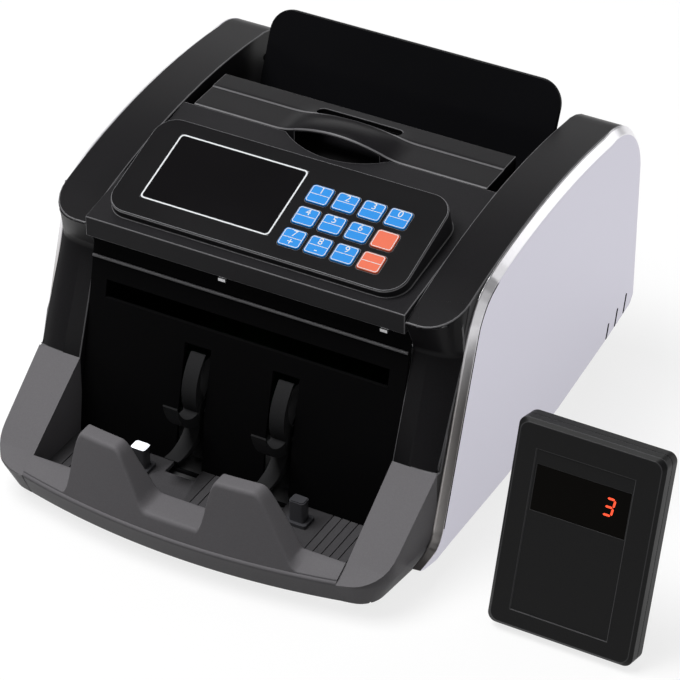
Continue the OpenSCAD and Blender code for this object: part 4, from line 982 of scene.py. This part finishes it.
def strip_column(x):
    """Section of the strip and the grip: front, crown, step, rear edge and the wall below it."""
    k = grip_share(x)
    front = STRIP_FRONT - 3 * k
    points = [(33, -5), (front + 0.3, -5), (front, -4.6), (front, GRIP_RISE * k)]
    points += [(front + y, z + rise * k) for y, z, rise in (
        (0.25, 0.3, 7.8), (0.9, 0.5, 8.1), (3.5, 0.56, 8.9), (7, 0.64, 9.3), (11, 0.72, 9.1),
        (15, 0.8, 8.0))]
    points += [(y, z + rise * k) for y, z, rise in (
        (46.5, 0.85, 6.3), (48.6, 0.9, 5.0), (49.6, 0.9, 4.3), (50.5, 1.45, 3.3), (53, 1.5, 1.8),
        (56, 1.55, 0.5), (60, 1.6, 0), (63.9, 1.65, 0), (64.5, 1.5, 0), (STRIP_REAR, 1.1, 0))]
    wall, wall_z = STRIP_REAR - 3, 123 - STRIP_Z
    points += [(STRIP_REAR, wall_z), (wall, wall_z), (wall, -1.4), (33, -3)]
    return section(x, points, STRIP_Z)


class COUNTER_OT_top(bpy.types.Operator):
    """Top strip with the carrying grip, hopper floor, back rest and rear deck"""
    bl_idname = "counter.top"
    bl_label = "Top"

    def execute(self, context):
        self.strip()
        self.bowl()
        dressed("hopper_floor", sizes().pocket_round, "tray_floor")
        dressed("back_rest", sizes().rest_round, "rest_gloss")
        dressed("rear_panel", sizes().panel_round, "case_black")
        # Pivot caps, in the black darkened with painted shade.
        shape = bmesh.new()
        for sign in (-1, 1):
            loft([section(sign * x, circle(r, 15, PIVOT_Y, PIVOT_Z))
                  for r, x in ((1.9, 96.2), (1.9, 95.9), (1.6, 95.75))], shape)
        piece("pivot_caps", shape, "recess_shade_black", slot="case_black")
        return {"FINISHED"}

    def strip(self):
        edges = (3, 4, 12)  # faces of the section that catch the light
        columns = [strip_column(x) for x in range(-STRIP_HALF, STRIP_HALF + 1)]
        obj = piece("strip_and_grip", loft(columns, paint=lambda strip, i: int(i in edges)),
                    "case_black", "case_edge_highlight", "recess_shade_black", slot="case_black",
                    nodes=["top_strip"])
        tunnel = []
        for x in range(-26, 27, 2):
            high = GRIP_RISE * grip_share(x) - 0.9
            points = [(20, -9), (20, high), (31, high), (44, high - 1.9), (44, -9)]
            tunnel.append(section(x, points, STRIP_Z))
        slot = bmesh.new()
        add_prism(slot, round_outline(52, 7.8, 3.5), STRIP_Z - 8, STRIP_Z + 9,
                  Matrix.Translation((0, 54.5, 0)))
        # The walls of the tunnel and the slot take the darker black, a painted shade in these
        # recesses.
        carved(obj, [painted(loft(tunnel), 2), painted(slot, 2)], sizes().strip_round, 1)

    def bowl(self):
        shape = bmesh.new()
        place = Matrix.Translation((0, BOWL_Y, STRIP_Z - BOWL_DROP))
        add_frame(shape, round_outline(BOWL_WIDE + BOWL_WALL, BOWL_DEEP + BOWL_WALL, 6),
                  round_outline(BOWL_WIDE - BOWL_WALL, BOWL_DEEP - BOWL_WALL, 5), 0, 7, place)
        add_prism(shape, round_outline(BOWL_WIDE, BOWL_DEEP, 5.5), 0, BOWL_WALL, place)
        # Ribs under the ends of the strip, and the tabs that hold them to the cheeks
        for near, far, front, rear, high in ((88, 90, 33, 63.7, -1), (90, 96, 38, 58.7, -7)):
            for left, right in ((-far, -near), (near, far)):
                add_box(shape, (left, front, STRIP_Z - 12), (right, rear, STRIP_Z + high))
        face_out(shape)
        piece("finger_bowl", shape, "case_black")


SCREW_X, SCREW_ROWS = 88, (20, 112)


class COUNTER_OT_fittings(bpy.types.Operator):
    """Gap knob, inlet, switch, socket, feet and the screws of the rear wall"""
    bl_idname = "counter.fittings"
    bl_label = "Rear fittings"

    def execute(self, context):
        small = sizes().fitting_round
        for node, body in (("gap_knob", "gap_knob"), ("power_inlet", "case"),
                           ("switch_body", "case"), ("power_switch", "power_rocker"),
                           ("remote_socket", "case")):
            dressed(node, small, "fitting_black", body=body)
        dressed("feet", small, "rubber")
        self.screws()
        return {"FINISHED"}

    def screws(self):
        head = loft([[Vector((x, y, z)) for x, z in circle(r, 15)]
                     for r, y in ((2.9, 0), (2.9, 0.6), (2.3, 1.3), (1.2, 1.6))])
        head.transform(Matrix.Scale(MM, 4))
        mesh = as_mesh("screw", head)
        shape = bmesh.new()
        for z in SCREW_ROWS:
            part = grown(mesh, Count=2, Step=(2 * SCREW_X * MM, 0, 0), Turn=1.4, Seed=3,
                         Material=MATERIALS["steel"])
            part.transform(Matrix.Translation(TO_ROW @ Vector((-SCREW_X, REAR_Y, z))))
            shape.from_mesh(part)
        piece("rear_screws", shape, "steel", place=Matrix())


# Lit segments of the digit, in shares of its width and height
SEGMENTS = (((0, 1), (1, 1)), ((1, 1), (1, 0.5)), ((1, 0.5), (1, 0)), ((0, 0), (1, 0)),
            ((0, 0.5), (1, 0.5)))
DIGIT_X, DIGIT_Y, DIGIT_SLANT, DIGIT_DEPTH = 11.7, 77.3, 1.1, -0.5
DIGIT_WIDE, DIGIT_BAR = 0.52, 0.13      # shares of its height


class COUNTER_OT_remote(bpy.types.Operator):
    """Remote display: two shells, a dark window and the lit digit behind it"""
    bl_idname = "counter.remote"
    bl_label = "Remote display"

    def execute(self, context):
        body = "remote_display"
        # The front shell's bevels take the remote edge colour, a painted highlight.
        for node, edge in (("remote_front", "remote_edge_highlight"), ("remote_back", None)):
            dressed(node, sizes().remote_round, "remote_black", body=body, angle=25.0, edge=edge)
        dressed("remote_window", 0, "remote_glass", body=body)
        high = sizes().digit_height / MM
        wide, bar = high * DIGIT_WIDE, high * DIGIT_BAR
        shape = bmesh.new()
        face = REMOTE @ Matrix.Translation((DIGIT_X, DIGIT_Y, 0))
        for ends in SEGMENTS:
            a, b = (Vector((x * wide + y * DIGIT_SLANT, y * high)) for x, y in ends)
            along = (b - a).normalized()
            across = Vector((-along.y, along.x)) * bar / 2
            a, b = a + along * bar * 0.25, b - along * bar * 0.25
            start, end = a + along * bar / 2, b - along * bar / 2
            points = [a, start - across, end - across, b, end + across, start + across]
            add_prism(shape, points, DIGIT_DEPTH - 0.05, DIGIT_DEPTH, face)
        face_out(shape)
        piece("lit_digit", shape, "lit_red", body=body)
        return {"FINISHED"}


# Name, place, width and power of the lamps, which all look at one point
LAMPS = (("top", (-0.75, -0.45, 2.1), 1.3, 46.0), ("side", (1.43, 1.79, 1.0), 1.6, 10.0),
         ("right", (2.3, -0.6, 0.9), 1.8, 5.0), ("rear", (-1.1, 2.1, 1.3), 1.6, 10.0))
LAMP_TARGET = Vector((0, 0, 0.1))
WORLD_STRENGTH = 0.13
FLOOR_STEPS, FLOOR_GLOW = 24, 0.78

# The photograph's camera: focal length and width in pixels, and where it stands
FOCAL, PHOTO_WIDE, SENSOR_WIDE = 3423.5, 680, 36.0
CAMERA_TARGET = Vector((-0.04893, 0.01186, 0.0510))
CAMERA_TURN, CAMERA_RISE, CAMERA_DISTANCE = math.radians(28.9), math.radians(35.01), 1.88725


def look(obj, place, direction):
    obj.location = place
    obj.rotation_euler = direction.to_track_quat("-Z", "Y").to_euler()


class COUNTER_OT_stage(bpy.types.Operator):
    """Pale floor, soft studio light and the camera at the photograph's angle"""
    bl_idname = "counter.stage"
    bl_label = "Stage"

    def execute(self, context):
        scene = context.scene
        self.floor()
        self.world(scene)
        for name, place, size, watts in LAMPS:
            data = setup(bpy.data.lights.new(name, "AREA"), size=size, energy=watts)
            look(linked(name, data), place, LAMP_TARGET - Vector(place))
        scene.camera = linked("camera", setup(
            bpy.data.cameras.new("camera"), sensor_width=SENSOR_WIDE,
            lens=FOCAL * SENSOR_WIDE / PHOTO_WIDE, clip_end=40.0))
        back = Vector((math.sin(CAMERA_TURN) * math.cos(CAMERA_RISE),
                       -math.cos(CAMERA_TURN) * math.cos(CAMERA_RISE), math.sin(CAMERA_RISE)))
        look(scene.camera, CAMERA_TARGET + back * CAMERA_DISTANCE, -back)
        scene.view_settings.view_transform = "Standard"
        return {"FINISHED"}

    def floor(self):
        shape = bmesh.new()
        bmesh.ops.create_grid(shape, x_segments=FLOOR_STEPS, y_segments=FLOOR_STEPS,
                              size=sizes().floor_size / 2)
        material = bpy.data.materials.new("floor")
        material.use_nodes = True
        tree = material.node_tree
        principled = tree.nodes["Principled BSDF"]
        dial(principled, Base_Color=(*colours().floor, 1), Roughness=0.9, Specular_IOR_Level=0.0,
             Emission_Strength=1.0)
        path = add(tree, "ShaderNodeLightPath")
        seen = path.outputs["Is Camera Ray"]
        for ray in ("Is Glossy Ray", "Is Transmission Ray"):
            seen = math_node(tree, "MAXIMUM", seen, path.outputs[ray])
        glow = math_node(tree, "MULTIPLY", seen, FLOOR_GLOW)
        wire(tree, (glow, principled.inputs["Emission Color"]))
        obj = linked("floor", as_mesh("floor", shape))
        obj.data.materials.append(material)

    def world(self, scene):
        scene.world = bpy.data.worlds.new("studio")
        scene.world.use_nodes = True
        dial(scene.world.node_tree.nodes["Background"], Color=(1, 1, 1, 1), Strength=WORLD_STRENGTH)


class COUNTER_PT_panel(bpy.types.Panel):
    """The pieces of the banknote counter, in the order they are built"""
    bl_idname = "COUNTER_PT_panel"
    bl_label = "Banknote counter"
    bl_space_type = "VIEW_3D"
    bl_region_type = "UI"
    bl_category = "Counter"

    def draw(self, context):
        for operator in OPERATORS:
            self.layout.operator(operator.bl_idname)


OPERATORS = (
    COUNTER_OT_materials, COUNTER_OT_works, COUNTER_OT_case_sides, COUNTER_OT_apron,
    COUNTER_OT_stacker, COUNTER_OT_panel, COUNTER_OT_keys, COUNTER_OT_top, COUNTER_OT_fittings,
    COUNTER_OT_remote, COUNTER_OT_stage,
)
CLASSES = (CounterSizes, CounterColours) + OPERATORS + (COUNTER_PT_panel,)


def register():
    for cls in CLASSES:
        bpy.utils.register_class(cls)
    bpy.types.Scene.counter_sizes = PointerProperty(type=CounterSizes)
    bpy.types.Scene.counter_colours = PointerProperty(type=CounterColours)


def unregister():
    del bpy.types.Scene.counter_colours
    del bpy.types.Scene.counter_sizes
    for cls in reversed(CLASSES):
        bpy.utils.unregister_class(cls)


def main():
    register()
    for operator in OPERATORS:
        group, name = operator.bl_idname.split(".")
        if getattr(getattr(bpy.ops, group), name)() != {"FINISHED"}:
            raise RuntimeError(operator.bl_label)


if __name__ == "__main__":
    main()
